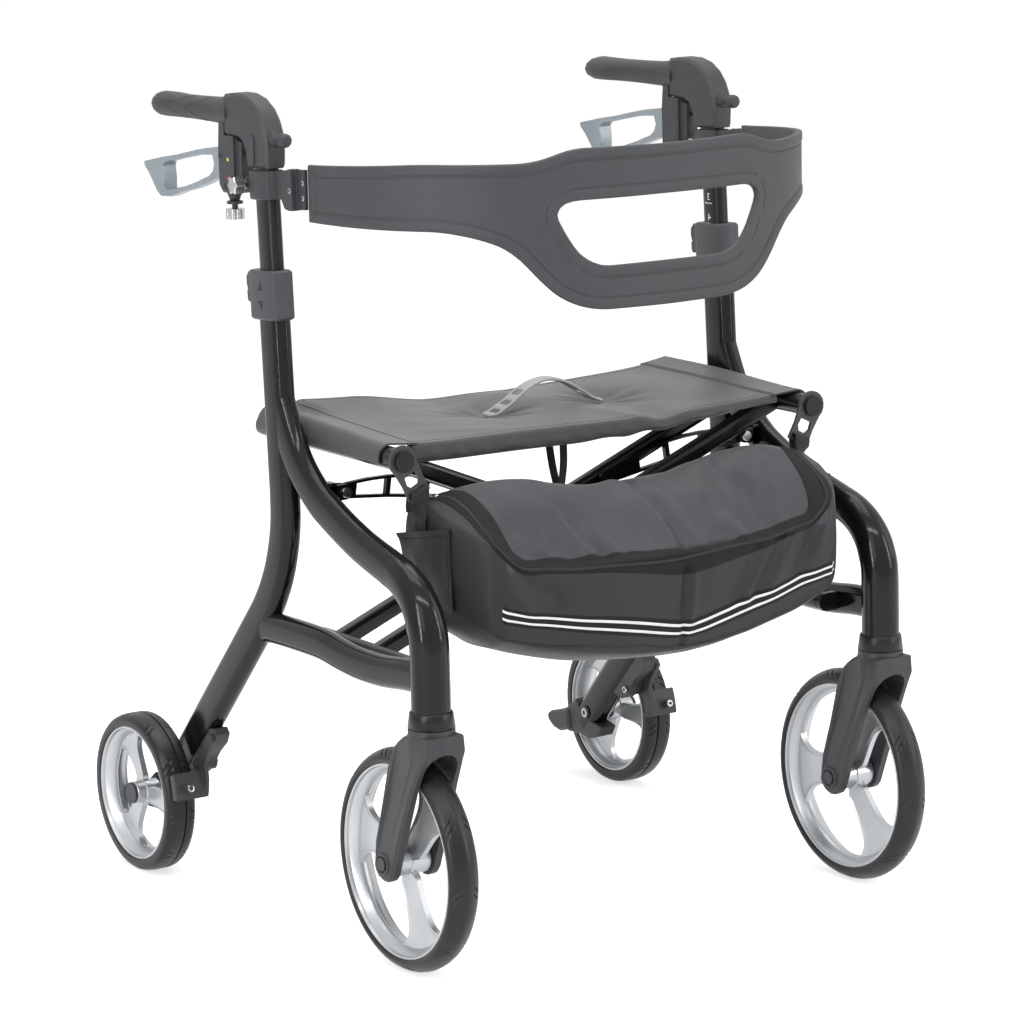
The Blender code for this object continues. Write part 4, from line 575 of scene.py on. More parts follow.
# %% [markdown]
# ## Side frames
#
# The upright runs down into the rear leg in one sweep. The front leg leaves it above the seat, comes
# forward, turns down and grows round for the caster's head. The lower rail ties the two together. All
# three are gloss black, and the head ends in a satin ring.
# %% Legs and rails
LEAN = math.radians(3)
LEAN_Y, LEAN_Z = 5.2 * mm, 760 * mm      # the upright's middle line passes here and leans back
REAR_AXLE = Vector((0, 287.6 * mm, 96.135 * mm))
FRONT_AXLE = Vector((0, -257.2 * mm, 126.388 * mm))
SWIVEL_Y = -313.5 * mm


def upright_y(z):
    """Where the upright's middle line is at a height."""
    return LEAN_Y + (z - LEAN_Z) * math.tan(LEAN)


# Middle lines of the tubes in a side frame's plane, (y, z) in millimetres
REAR_LEG = [*in_mm([(upright_y(505 * mm) / mm, 505), (-7.4, 470), (-1, 438), (13, 402), (38, 363),
                    (79, 318)]),
            (REAR_AXLE.y - 63.6 * mm, REAR_AXLE.z + 69 * mm),
            (REAR_AXLE.y + 14 * mm, REAR_AXLE.z - 15.5 * mm)]
FRONT_LEG = in_mm([(-3, 612), (-28, 563), (-50, 535), (-78, 512), (-106, 496), (-171, 470),
                   (-235, 452.5), (-262, 444.5), (-283, 433), (-299, 417), (-308, 399), (-312.5, 380),
                   (-313.5, 340), (-313.5, 303)])
SIDE_RAIL = in_mm([(40, 337), (20, 339), (-76, 340), (-125, 335), (-167, 332), (-215, 333),
                   (-262, 338), (-296, 340)])


def rear_leg_halves(t):
    return 22.5 * mm, 12.5 * mm


def side_rail_halves(t):
    return 18.5 * mm, 12.5 * mm


def front_leg_halves(t):
    swell = ease(t, 0.3, 0.8)
    return (21 + swell) * mm, (12.4 + swell * 9.5) * mm


straight = [Vector((upright_y(z), z)) for z in (LEAN_Z - 15 * mm, 660 * mm, 580 * mm)]
TUBES = {
    # node name without its side: (middle line, halves, points in a ring)
    "rear_leg": ([*straight, *through(REAR_LEG, 7)], rear_leg_halves, 28),
    "side_rail": (through(SIDE_RAIL, 6), side_rail_halves, 28),
    "front_leg": (through(FRONT_LEG, 6), front_leg_halves, 32),
}
for side_name, side in SIDES:
    for part, (path, halves, count) in TUBES.items():
        tube = extruded_rings(frame_tube(path, halves, side, count))
        piece_from(tube, f"{side_name}_{part}_tube", "frame_black", f"{side_name}_frame", sharp=60,
                   standing_for=(f"{side_name}_{part}",))
print(len(TUBES), "tubes in each side frame")

# %% [markdown]
# The truss link turns on a pin between two ears that are welded to the front leg. Ears, base and ring
# are simple outlines given a thickness, so one helper makes them all: it fills an outline, extrudes the
# face and moves it.
# %% Plates, clevis and head ring


def plate(outline, place, low, high, bm=None):
    """An outline given a thickness. place(a, b, h) gives a point, and the new faces join bm if given."""
    made = bm or bmesh.new()
    loop = [made.verts.new(place(a, b, low)) for a, b in outline]
    for a, b in zip(loop, [*loop[1:], loop[0]]):
        made.edges.new((a, b))
    filled = bmesh.ops.contextual_create(made, geom=loop)["faces"]
    grown = bmesh.ops.extrude_face_region(made, geom=filled)["geom"]
    top = [g for g in grown if isinstance(g, bmesh.types.BMVert)]
    bmesh.ops.translate(made, verts=top, vec=Vector(place(0, 0, high)) - Vector(place(0, 0, low)))
    bmesh.ops.recalc_face_normals(made, faces=made.faces)
    return made


def curve_of(centre, radius, start, end, steps):
    """Places on an arc, with angles in degrees."""
    angles = [math.radians(a) for a in evenly(start, end, steps)]
    return [(centre[0] + radius * math.cos(a), centre[1] + radius * math.sin(a)) for a in angles]


def turned(profile, centre, axis, steps=96, closed=False):
    """A profile of (radius, along) places spun round an axis; closed if its ends meet off the axis."""
    axis = Vector(axis).normalized()
    arm = axis.orthogonal().normalized()
    bm = bmesh.new()
    verts = [bm.verts.new(Vector(centre) + arm * radius + axis * along) for radius, along in profile]
    pairs = list(zip(verts, verts[1:])) + ([(verts[-1], verts[0])] if closed else [])
    edges = [bm.edges.new(pair) for pair in pairs]
    bmesh.ops.spin(bm, geom=[*verts, *edges], cent=centre, axis=axis, angle=math.tau, steps=steps,
                   use_merge=True)
    bmesh.ops.remove_doubles(bm, verts=bm.verts, dist=0.001 * mm)
    bmesh.ops.recalc_face_normals(bm, faces=bm.faces)
    return bm


def joined(*parts):
    """Several bmeshes as one."""
    whole = bmesh.new()
    for part in parts:
        carrier = bpy.data.meshes.new("carrier")
        part.to_mesh(carrier)
        part.free()
        whole.from_mesh(carrier)
        bpy.data.meshes.remove(carrier)
    return whole


LINK_PIVOT = (280.3 * mm, 512.7 * mm)
LINK_GAP = {"right": (-91.6 * mm, -83.8 * mm), "left": (-86.2 * mm, -78.4 * mm)}
EAR = 4 * mm
EAR_OUTLINE = curve_of((0, 0), 9 * mm, 90, 270, 12) + in_mm([(20, -9), (20, 9)])
BASE_OUTLINE = in_mm([(10.5, -12), (20, -12), (20, 12), (10.5, 12)])
PIN = in_mm([(0, -1), (5.4, -1), (6.2, 0.4), (6.2, 2.6), (3.4, 3), (3.4, 22), (5.6, 22.4), (5.6, 25),
             (0, 25.4)])
HEAD_RING = in_mm([(21, 288.3), (25.4, 288.3), (26.4, 289.2), (24.2, 305.4), (23, 306.8), (21, 307)])

for side_name, side in SIDES:
    def clevis_place(a, b, h, side=side):
        return (side * (LINK_PIVOT[0] + a), h, LINK_PIVOT[1] + b)

    low, high = LINK_GAP[side_name]
    frame_body = f"{side_name}_frame"
    parts = [plate(outline, clevis_place, *ends) for outline, ends in (
        (EAR_OUTLINE, (low - EAR, low)), (EAR_OUTLINE, (high, high + EAR)),
        (BASE_OUTLINE, (low - EAR, high + EAR)))]
    clevis = piece_from(joined(*parts), f"{side_name}_clevis", "brace_black", frame_body)
    bevelled(clevis, 0.8 * mm)
    pin = turned(PIN, (side * LINK_PIVOT[0], low - EAR - 3 * mm, LINK_PIVOT[1]), (0, 1, 0), 32)
    piece_from(pin, f"{side_name}_clevis_pin", "bright_metal", frame_body)
    ring = turned(HEAD_RING, (side * FRAME_X, SWIVEL_Y, 0), (0, 0, 1), 64, closed=True)
    piece_from(ring, f"{side_name}_head_ring", "post_black", frame_body, sharp=60)
print("clevises and head rings")

# %% [markdown]
# ## Wheels
#
# A tyre and a rim's barrel are both turned shapes, so each is a half profile spun a full turn. The
# spokes are not: each is a dished blade, wide where it meets the barrel like a fish's tail, with a thin
# raised edge. A flat grid is bent to that form and given a thickness.
# %% Turned parts of a wheel
SPOKES = 3


def mirrored(half):
    """A profile of (radius, along) places and its mirror image, as one closed loop."""
    return [*half, *[(r, -a) for r, a in reversed(half) if abs(a) > 1e-6]]


# Tyres in millimetres: the front one is even, the rear one has a groove beside its middle
FRONT_TYRE = mirrored(in_mm([(110.3, 16.6), (111.6, 17.9), (114.6, 18.5), (117.6, 17.5), (120.2, 15.4),
                             (122.6, 12), (124.5, 8.2), (125.7, 4.4), (126.25, 1.4), (126.35, 0)]))
REAR_TYRE = in_mm([(81.3, 17.6), (82.6, 18.9), (88, 19.1), (91.6, 18.2), (94, 15.4), (95.2, 11.6),
                   (95.9, 6), (96.1, -0.6), (95.9, -2.6), (94.2, -3), (94.2, -4.4), (95.8, -4.8),
                   (95.9, -10), (95.1, -14), (93.6, -16.8), (90, -18.8), (82.6, -18.9), (81.3, -17.6)])


def barrel_profile(outer, half):
    """The rim's barrel: a bright lip, a step, and a cone down to the middle with a fine bead on it."""
    wall, well = outer - 3.2, outer - 11
    return mirrored(in_mm([(outer, half), (outer - 1, half + 0.6), (outer - 2.4, half + 0.2),
                           (wall, half - 1.6), (wall - 0.5, half - 3.4), (wall - 1.3, half - 3.9),
                           (well + 1, 5.2), (well + 0.2, 2.2), (well, 0.9), (well - 0.8, 0.45)]))


def hub_profile(radius, half, bore):
    """The hub: a sleeve with a low collar round its middle."""
    return mirrored(in_mm([(bore, half), (radius - 1, half), (radius, half - 1), (radius, 4.4),
                           (radius + 1.4, 3.4)]))


print(len(REAR_TYRE), "places in the rear tyre's profile")

# %% Spoke blades


def grid_sheet(columns, rows):
    """A flat square of columns by rows faces, from -1 to 1 both ways, as a bmesh."""
    bm = bmesh.new()
    bmesh.ops.create_grid(bm, x_segments=columns, y_segments=rows, size=1.0)
    return bm


def shares(vert):
    """How far a vert lies along a grid_sheet's columns and up its rows, each from 0 to 1."""
    return (vert.co.x + 1) / 2, (vert.co.y + 1) / 2


def second_face(bm):
    """Gives a sheet its other face and the rim between, and returns that other face's verts."""
    grown = bmesh.ops.extrude_face_region(bm, geom=bm.faces[:])["geom"]
    return {g for g in grown if isinstance(g, bmesh.types.BMVert)}


HALF_ROWS = (0.25, 0.5, 0.7, 0.84, 0.9, 0.935, 0.965, 1)
BLADE_ROWS = (*(-s for s in reversed(HALF_ROWS)), 0, *HALF_ROWS)      # closer together at the edges
BLADE_STEPS = 26


def spoke_blade(start, reach, neck, flare, turn):
    """One blade in the plane of the wheel, turned from +Y towards +Z by turn degrees."""
    rows = len(BLADE_ROWS) - 1
    bm = grid_sheet(BLADE_STEPS, rows)
    back = second_face(bm)
    for vert in bm.verts:
        t, up = shares(vert)
        s = BLADE_ROWS[round(up * rows)]
        radius = start + reach * t
        half_width = neck / 2 * (1 + 0.2 * t) + flare * t ** 6
        angle = math.radians(turn + 5 * (1 - t) ** 2) + s * min(half_width / radius, math.radians(34))
        raised = 1.1 * ease(abs(s), 0.86, 0.93)
        at_hub, at_barrel = 1.2 * (1 - ease(t, 0.0, 0.25)), 1.0 * ease(t, 0.86, 1.0)
        dish = (2.3 + raised + at_hub + at_barrel) * mm
        vert.co = (-dish if vert in back else dish, radius * math.cos(angle), radius * math.sin(angle))
    bmesh.ops.recalc_face_normals(bm, faces=bm.faces)
    return bm


print(len(BLADE_ROWS), "rows of places across a blade")

# %% [markdown]
# The tread has pairs of slanting slits in both shoulders, which a spun profile can't hold. So the tyre
# is a closed run of rings, close together at the slits and wide apart between them.
# %% Tyres with slits
SLIT_PAIRS = 10
SLIT_DEEP, SLIT_GAP, SLIT_SLANT = 1.2 * mm, 9 * mm, math.radians(8)
SLIT_EDGE = 1.5
SLIT_STEPS = ((-SLIT_EDGE, 0), (-0.45, 1), (0.45, 1), (SLIT_EDGE, 0))     # (across in mm, cut or not)
PLAIN_STEPS = 11                         # from one pair of slits to the next


def slit_tyre(profile, centre):
    """A tyre's rings, sheared so that they slant over the tread, with pairs of slits in both shoulders."""
    tread = max(r for r, _ in profile)
    half = max(abs(a) for _, a in profile)
    bead = min(r for r, _ in profile)
    fine = [(r0 + (r1 - r0) * k / 3, a0 + (a1 - a0) * k / 3)
            for (r0, a0), (r1, a1) in zip(profile, [*profile[1:], profile[0]]) for k in range(3)]
    turns = []
    for pair in range(SLIT_PAIRS):
        start = math.tau * pair / SLIT_PAIRS
        turns += [(start + (slit * SLIT_GAP + step * mm) / tread, deep)
                  for slit in (0, 1) for step, deep in SLIT_STEPS]
        after = turns[-1][0]
        pitch = (start + math.tau / SLIT_PAIRS - SLIT_EDGE * mm / tread - after) / PLAIN_STEPS
        turns += [(after + pitch * k, 0) for k in range(1, PLAIN_STEPS)]
    rings = []
    for turn, deep in turns:
        ring = []
        for r, a in fine:
            share = abs(a) / half
            on_shoulder = ease(share, 0.3, 0.45) * (1 - ease(share, 0.86, 0.97))
            cut = deep * SLIT_DEEP * on_shoulder * ease(r, bead + 4 * mm, bead + 8 * mm)
            slanted = turn + SLIT_SLANT * share ** 1.5
            ring.append((centre.x + a, centre.y + (r - cut) * math.cos(slanted),
                         centre.z + (r - cut) * math.sin(slanted)))
        rings.append(ring)
    return extruded_rings(rings, closed=True)


print(SLIT_PAIRS, "pairs of slits on a tyre")

# %% Four wheels


def make_wheel(name, wheel, centre, tyre, barrel, hub, blade, turn):
    """A tyre and a rim with its blades, about an axle along X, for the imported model's wheel."""
    rim = [turned(barrel, (0, 0, 0), (1, 0, 0), 128, closed=True),
           turned(hub, (0, 0, 0), (1, 0, 0), 64, closed=True)]
    for index in range(SPOKES):
        rim.append(spoke_blade(*blade, turn + 360 * index / SPOKES))
    whole = joined(*rim)
    bmesh.ops.translate(whole, verts=whole.verts, vec=centre)
    piece_from(whole, name + "_rim", "rim_silver", wheel + "_wheel", sharp=32,
               standing_for=(wheel + "_rim",))
    piece_from(slit_tyre(tyre, centre), name + "_tyre", "tyre_black", wheel + "_wheel",
               standing_for=(wheel + "_tyre",))


# How far each wheel has come to rest from its first blade's level, in degrees
FRONT_TURN = {"right": 10, "left": -7}
REAR_TURN = {"right": 63, "left": 60}
REAR_X = 346.7 * mm
FRONT_BLADE = (15 * mm, 84.6 * mm, 33 * mm, 24 * mm)     # start, reach, neck and flare
REAR_BLADE = (11 * mm, 59.6 * mm, 21 * mm, 20 * mm)
for side_name, side in SIDES:
    centre = Vector((side * FRAME_X, FRONT_AXLE.y, FRONT_AXLE.z))
    make_wheel(side_name + "_caster", side_name + "_front", centre, FRONT_TYRE, barrel_profile(110, 16.4),
               hub_profile(16.6, 20.8, 5.4), FRONT_BLADE, FRONT_TURN[side_name])
    centre = Vector((side * REAR_X, REAR_AXLE.y, REAR_AXLE.z))
    tyre = REAR_TYRE if side > 0 else [(r, -a) for r, a in REAR_TYRE]
    make_wheel(side_name + "_back_wheel", side_name + "_rear", centre, tyre, barrel_profile(81, 17.4),
               hub_profile(13, 16, 5.4), REAR_BLADE, REAR_TURN[side_name])
print("four wheels,", SPOKES, "blades each")

# %% [markdown]
# ## Back band
#
# The band is grained vinyl over thin foam, bent round behind the user and bound along every edge. It is
# drawn flat first: columns along its length and rows up its height. The middle row is split open where
# the window is. Each place then gets its distance from the nearest edge, and that distance decides how
# far it stands out: a rounded edge, the raised binding, a crease, and the softer field inside.
# %% The band's outline, drawn flat
BAND_HALF, BAND_REACH, BAND_BOW = 302 * mm, 276 * mm, 2.55
BAND_BACK_Y, BAND_START_Y = -57.85 * mm, -67.6 * mm
BAND_THICK = 8.6 * mm
WINDOW_TIP = (135 * mm, 834 * mm)
# Edges as (distance from the middle plane, height) in millimetres
TOP_EDGE = in_mm([(0, 904), (118, 906), (143, 897), (165, 892), (260, 892), (302, 881)])
LOW_EDGE = in_mm([(0, 726), (92, 727), (127, 738), (150, 757), (183, 797), (213, 811), (245, 819),
                  (302, 817)])
WINDOW_TOP = in_mm([(0, 849), (108, 849), (118, 848.2), (126, 846), (131.5, 842), (134.4, 838),
                    (135, 834)])
WINDOW_LOW = in_mm([(0, 775), (74, 775), (84, 776.4), (94, 780), (103, 785), (111, 791.5), (119, 802),
                    (128, 817.5), (132.8, 827), (134.6, 831), (135, 834)])


def height_at(away, points):
    """The height of an edge drawn with straight lines between its points."""
    for (a, low), (b, high) in zip(points, points[1:]):
        if away <= b:
            return low + (high - low) * (away - a) / (b - a)
    return points[-1][1]


def band_place(angle):
    """A place of the band's outer face in plan, at an angle from the right bracket."""
    c, s = math.cos(angle), math.sin(angle)
    x = -BAND_HALF * math.copysign(abs(c) ** (2 / BAND_BOW), c)
    return Vector((x, BAND_BACK_Y - BAND_REACH * abs(s) ** (2 / BAND_BOW)))


first_angle = math.asin(((BAND_BACK_Y - BAND_START_Y) / BAND_REACH) ** (BAND_BOW / 2))
fine_places = [band_place(a) for a in evenly(first_angle, math.pi - first_angle, 2400)]
run_length = lengths_along(fine_places)
BAND_LENGTH = run_length[-1]


def band_frame(along):
    """The place in plan, the outward direction and |x| at a length along the band."""
    low, high = 0, len(run_length) - 1
    while high - low > 1:
        middle = (low + high) // 2
        low, high = (middle, high) if run_length[middle] <= along else (low, middle)
    share = (along - run_length[low]) / max(1e-9, run_length[high] - run_length[low])
    place = fine_places[low].lerp(fine_places[high], share)
    before, after = fine_places[max(0, low - 12)], fine_places[min(len(fine_places) - 1, high + 12)]
    ahead = (after - before).normalized()
    return place, Vector((ahead.y, -ahead.x)), abs(place.x)


def softened(points, reach):
    """An edge's height along the band, averaged over a short reach so that its corners are round."""
    stops = []
    for x, z in points:
        stops.append((next(run_length[i] for i, p in enumerate(fine_places) if p.x >= -x - 0.01 * mm), z))
    stops.sort()

    def height(along):
        total = 0.0
        for i in range(-4, 5):
            where = min(BAND_LENGTH, max(0.0, along + reach * i / 4))
            total += height_at(min(where, BAND_LENGTH - where), stops)
        return total / 9
    return height


top_edge, low_edge = softened(TOP_EDGE, 16 * mm), softened(LOW_EDGE, 17 * mm)
middle_run = BAND_LENGTH / 2
window_run = next(run_length[i] for i, p in enumerate(fine_places) if p.x > -WINDOW_TIP[0])
window_half = middle_run - window_run
print("band", round(BAND_LENGTH, 3), "m long, window", round(2 * window_half, 3), "m")

# %% [markdown]
# The columns stand closer together at the band's ends and at the window's tips, and the rows at every
# edge, so that the binding's step stays crisp where it turns.
# %% The band's columns and rows
BAND_ROWS = 36
COLUMN_STEP, COLUMN_GAP = 5.6 * mm, 0.35 * mm      # the usual step and the least one
NEAR_TIP = (-14, -11, -8.5, -6.5, -4.8, -3.4, -2.2, -1.2, -0.5, 0, 1, 2.4, 4, 6, 8.4, 10.4, 11.4, 12.6, 14)
NEAR_END = (0.8, 2.4, 5.6, 9, 10.2, 11.2, 13)
EDGE_STEPS = [step * mm for step in (0, 0.7, 2.2, 5.4, 8.6, 10.2, 11.2, 13.4)]
wanted = {0.0, middle_run}
wanted |= {middle_run - i * COLUMN_STEP for i in range(1, int(middle_run / COLUMN_STEP))}
wanted |= {window_run - offset * mm for offset in NEAR_TIP}
wanted |= {offset * mm for offset in NEAR_END}
kept = [0.0]
for value in sorted(wanted):
    if value - kept[-1] > COLUMN_GAP:
        kept.append(value)
kept[-1] = middle_run
columns = [*kept, *[BAND_LENGTH - v for v in kept[-2::-1]]]
tip_columns = [min(range(len(columns)), key=lambda i: abs(columns[i] - place))
               for place in (window_run, BAND_LENGTH - window_run)]


def window_edges(along):
    """The heights of the window's lower and upper edge."""
    away = band_frame(along)[2]
    return height_at(away, WINDOW_LOW), height_at(away, WINDOW_TOP)


def row_heights(along, index):
    """Heights up one column: two halves, each with fine steps near both of its edges."""
    low, high = low_edge(along), top_edge(along)
    if tip_columns[0] <= index <= tip_columns[1]:
        below, above = window_edges(along)
    else:
        gap = min(abs(along - window_run), abs(along - (BAND_LENGTH - window_run)))
        below = above = WINDOW_TIP[1] + ((low + high) / 2 - WINDOW_TIP[1]) * ease(gap, 0.0, 70 * mm)
    slope = abs(low_edge(min(BAND_LENGTH, along + 3 * mm)) - low_edge(max(0.0, along - 3 * mm))) / (6 * mm)
    stretch = min(1.9, math.sqrt(1 + slope ** 2))
    halves = []
    for start, end, factor in ((low, below, stretch), (above, high, 1.0)):
        near = [start + s * factor for s in EDGE_STEPS]
        far = [end - s for s in reversed(EDGE_STEPS)]
        if far[0] < near[-1] + 1 * mm:
            squeeze = min(1, ((end - start) / 2 - 0.5 * mm) / (EDGE_STEPS[-1] * factor))
            near = [start + s * factor * squeeze for s in EDGE_STEPS]
            far = [end - s * squeeze for s in reversed(EDGE_STEPS)]
        halves.append([*near, *evenly(near[-1], far[0], 4)[1:-1], *far])
    return halves


lengths = evenly(0.0, BAND_LENGTH, 260)
window_steps = evenly(window_run, BAND_LENGTH - window_run, 150)
window_loop = [(s, window_edges(s)[1]) for s in window_steps]
window_loop += [(s, window_edges(s)[0]) for s in reversed(window_steps)]
borders = [
    [(s, low_edge(s)) for s in lengths],
    [(s, top_edge(s)) for s in lengths],
    [(0.0, low_edge(0)), (0.0, top_edge(0))],
    [(BAND_LENGTH, low_edge(0)), (BAND_LENGTH, top_edge(0))],
    [(window_run, WINDOW_TIP[1]), *window_loop, (window_run, WINDOW_TIP[1])],
]


def edge_distances(places):
    """For each (along, height) place, how far the nearest border is."""
    where = np.array(places)
    nearest = np.full(len(where), 1e9)
    for line in borders:
        points = np.array(line)
        for a, b in zip(points[:-1], points[1:]):
            way = b - a
            share = np.clip(((where - a) @ way) / max(way @ way, 1e-12), 0, 1)
            away = where - a - share[:, None] * way
            nearest = np.minimum(nearest, np.hypot(away[:, 0], away[:, 1]))
    return nearest


def edge_rise(distance):
    """How far the face stands out at a distance from the edge: round edge, binding, crease, field."""
    d = distance / mm
    turn = 2.6 * (1 - math.sqrt(max(0.0, 1 - (1 - min(1.0, d / 2.2)) ** 2)))
    binding = 0.9 * (1 - ease(d, 10.0, 11.0))
    crease = 0.5 * math.exp(-((d - 11.2) / 0.8) ** 2)
    stitched = 0.35 * math.exp(-((d - 13.6) / 1.0) ** 2)
    return (binding - 0.9 - turn - crease - stitched) * mm


print(len(columns), "columns,", BAND_ROWS, "rows")

# %% [markdown]
# The flat grid is slit along the window, stretched to its columns and rows, given its other face and
# bent round to its plan.
# %% The band's mesh
band = grid_sheet(len(columns) - 1, BAND_ROWS)
tag = band.verts.layers.float.new("distance")
run = band.verts.layers.float.new("run")
up_layer = band.verts.layers.float.new("height")
middle_row = BAND_ROWS // 2


def spot_of(vert):
    """The column and the row of a vert of the flat band."""
    along, up = shares(vert)
    return round(along * (len(columns) - 1)), round(up * BAND_ROWS)


def on_slit(vert):
    column, row = spot_of(vert)
    return row == middle_row and tip_columns[0] <= column <= tip_columns[1]


bmesh.ops.split_edges(band, edges=[e for e in band.edges if all(on_slit(v) for v in e.verts)])
heights = [row_heights(along, i) for i, along in enumerate(columns)]
flat_places = {}
for face in band.faces:
    upper_half = min(spot_of(v)[1] for v in face.verts) >= middle_row
    for vert in face.verts:
        column, row = spot_of(vert)
        height = heights[column][1][row - middle_row] if upper_half else heights[column][0][row]
        flat_places[vert] = (columns[column], height)
distances = edge_distances(list(flat_places.values()))
for (vert, (along, height)), distance in zip(flat_places.items(), distances):
    vert[tag], vert[run], vert[up_layer] = distance, along, height
outer_face = second_face(band)
for vert in band.verts:
    place, outward, _ = band_frame(vert[run])
    rise = edge_rise(vert[tag])
    depth = rise if vert in outer_face else -BAND_THICK - rise
    vert.co = (place.x + outward.x * depth, place.y + outward.y * depth, vert[up_layer])
bmesh.ops.remove_doubles(band, verts=band.verts, dist=0.01 * mm)
bmesh.ops.recalc_face_normals(band, faces=band.faces)
band_piece = piece_from(band, "back_band", "backrest_skin", body_of("backrest_band"), sharp=70,
                        standing_for=("backrest_band",))


def narrows(made):
    """Gives a soft piece its own copy of its mesh."""
    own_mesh(made)
    return made


narrows(band_piece)
print("band", len(band_piece.data.polygons), "faces")

# %% [markdown]
# Thread shows as short dashes with gaps between. Each is a small rounded bar laid along the line of the
# seam, and a row of hundreds is one mesh, so that it stays light.
# %% Stitches
finish("dark_thread", (0.02, 0.02, 0.022), (0.03, 0.03, 0.032), (0.5, 0.6), grains=2500, depth=0.02 * mm)


def stitch_row(name, line, normals, body, pitch=4.4 * mm, length=3.0 * mm, width=0.75 * mm):
    """Small bars along a line of places. normals is one way out of the surface, or one for each place."""
    if isinstance(normals, Vector):
        normals = [normals] * len(line)
    bm = bmesh.new()
    travelled, due = 0.0, pitch / 2
    for a, b, normal in zip(line, line[1:], normals):
        gap = (b - a).length
        while gap > 1e-9 and travelled + gap >= due:
            place = a.lerp(b, (due - travelled) / gap)
            ahead = (b - a).normalized()
            across = normal.cross(ahead).normalized()
            turn = Matrix((ahead, across, normal)).transposed().to_4x4()
            made = bmesh.ops.create_cube(bm, size=1.0)["verts"]
            bmesh.ops.scale(bm, vec=(length, width, 0.55 * mm), verts=made)
            bmesh.ops.transform(bm, matrix=Matrix.Translation(place + normal * 0.1 * mm) @ turn, verts=made)
            due += pitch
        travelled += gap
    return piece_from(bm, name, "dark_thread", body, sharp=50)


def band_line(places):
    """Places (along, height) of the flat band as points on its outer face, and their normals."""
    points, normals = [], []
    for (along, height), away in zip(places, edge_distances(places)):
        place, outward, _ = band_frame(along)
        rise = edge_rise(away)
        points.append(Vector((place.x + outward.x * rise, place.y + outward.y * rise, height)))
        normals.append(Vector((outward.x, outward.y, 0)))
    return points, normals


SEAM_IN = 13.6 * mm
inner_runs = evenly(SEAM_IN, BAND_LENGTH - SEAM_IN, 400)


def sloped_in(edge, along, sign):
    """A place at the seam's distance from an edge, measured square to the edge."""
    slope = (edge(along + 2 * mm) - edge(along - 2 * mm)) / (4 * mm)
    return edge(along) + sign * SEAM_IN * math.sqrt(1 + slope ** 2)


band_threads = [
    [(s, sloped_in(low_edge, s, 1)) for s in inner_runs],
    [(s, sloped_in(top_edge, s, -1)) for s in inner_runs],
]
loop_points = window_loop + [window_loop[0]]
around_window = []
for (s0, z0), (s1, z1) in zip(loop_points, loop_points[1:]):
    way = Vector((s1 - s0, z1 - z0))
    if way.length > 1e-6:
        away = Vector((-way.y, way.x)).normalized() * SEAM_IN
        around_window.append(((s0 + s1) / 2 + away.x, (z0 + z1) / 2 + away.y))
band_threads.append([*around_window, around_window[0]])
for i, places in enumerate(band_threads):
    line, normals = band_line(places)
    narrows(stitch_row(f"band_thread_{i}", line, normals, body_of("backrest_band")))
print(len(band_threads), "rows of stitches")

# %% [markdown]
# ## Seat
#
# The seat is satin nylon, folded over and sewn round a rail on each side. When the frame folds the rails come
# together, and the two sleeves stay with their rails. The cloth is one closed skin: rings run from the rear
# hem over the top to the front hem and back underneath, and are extruded from one side to the other. Its
# folds are sums of a few waves.
# %% The seat's form
RAIL_X, RAIL_Z = 280.3 * mm, 566.3 * mm
SLEEVE_RADIUS, CLOTH = 15.4 * mm, 2.0 * mm
SEAT_BACK_Y, SEAT_FRONT_Y = 77 * mm, -194 * mm
FLAT_DEPTH = SEAT_BACK_Y - SEAT_FRONT_Y
SEAT_SPLIT = 250 * mm                  # where a sleeve's flap is sewn to the middle cloth
STRAP_ENDS = (-66 * mm, 94 * mm)
STRAP_Y = -56 * mm
# Mounds and dips of the cloth in millimetres: (x, y, half width, half depth, turn in degrees, height)
SEAT_MOUNDS = (
    (55, -165, 16, 60, 18, 2.4), (92, -178, 22, 60, -12, -5.5), (-170, -80, 70, 80, 12, 5),
    (178, -50, 66, 80, 12, 5), (-60, -50, 38, 46, 12, -7), (100, -56, 40, 50, 12, -7.5),
    (20, 20, 60, 26, 12, 3), (-8, 40, 26, 34, 10, 2.0), (42, 34, 18, 40, -8, -2.2),
    (-150, -150, 60, 14, -24, 1.2), (-90, 20, 70, 12, 16, -1.0),
)


def bump_at(x, y, x0, y0, wide, deep, turn=0.0):
    """A smooth mound with its own width, depth and turn, 1 at its middle."""
    c, s = math.cos(math.radians(turn)), math.sin(math.radians(turn))
    a, b = ((x - x0) * c + (y - y0) * s) / wide, (-(x - x0) * s + (y - y0) * c) / deep
    return math.exp(-a * a - b * b)


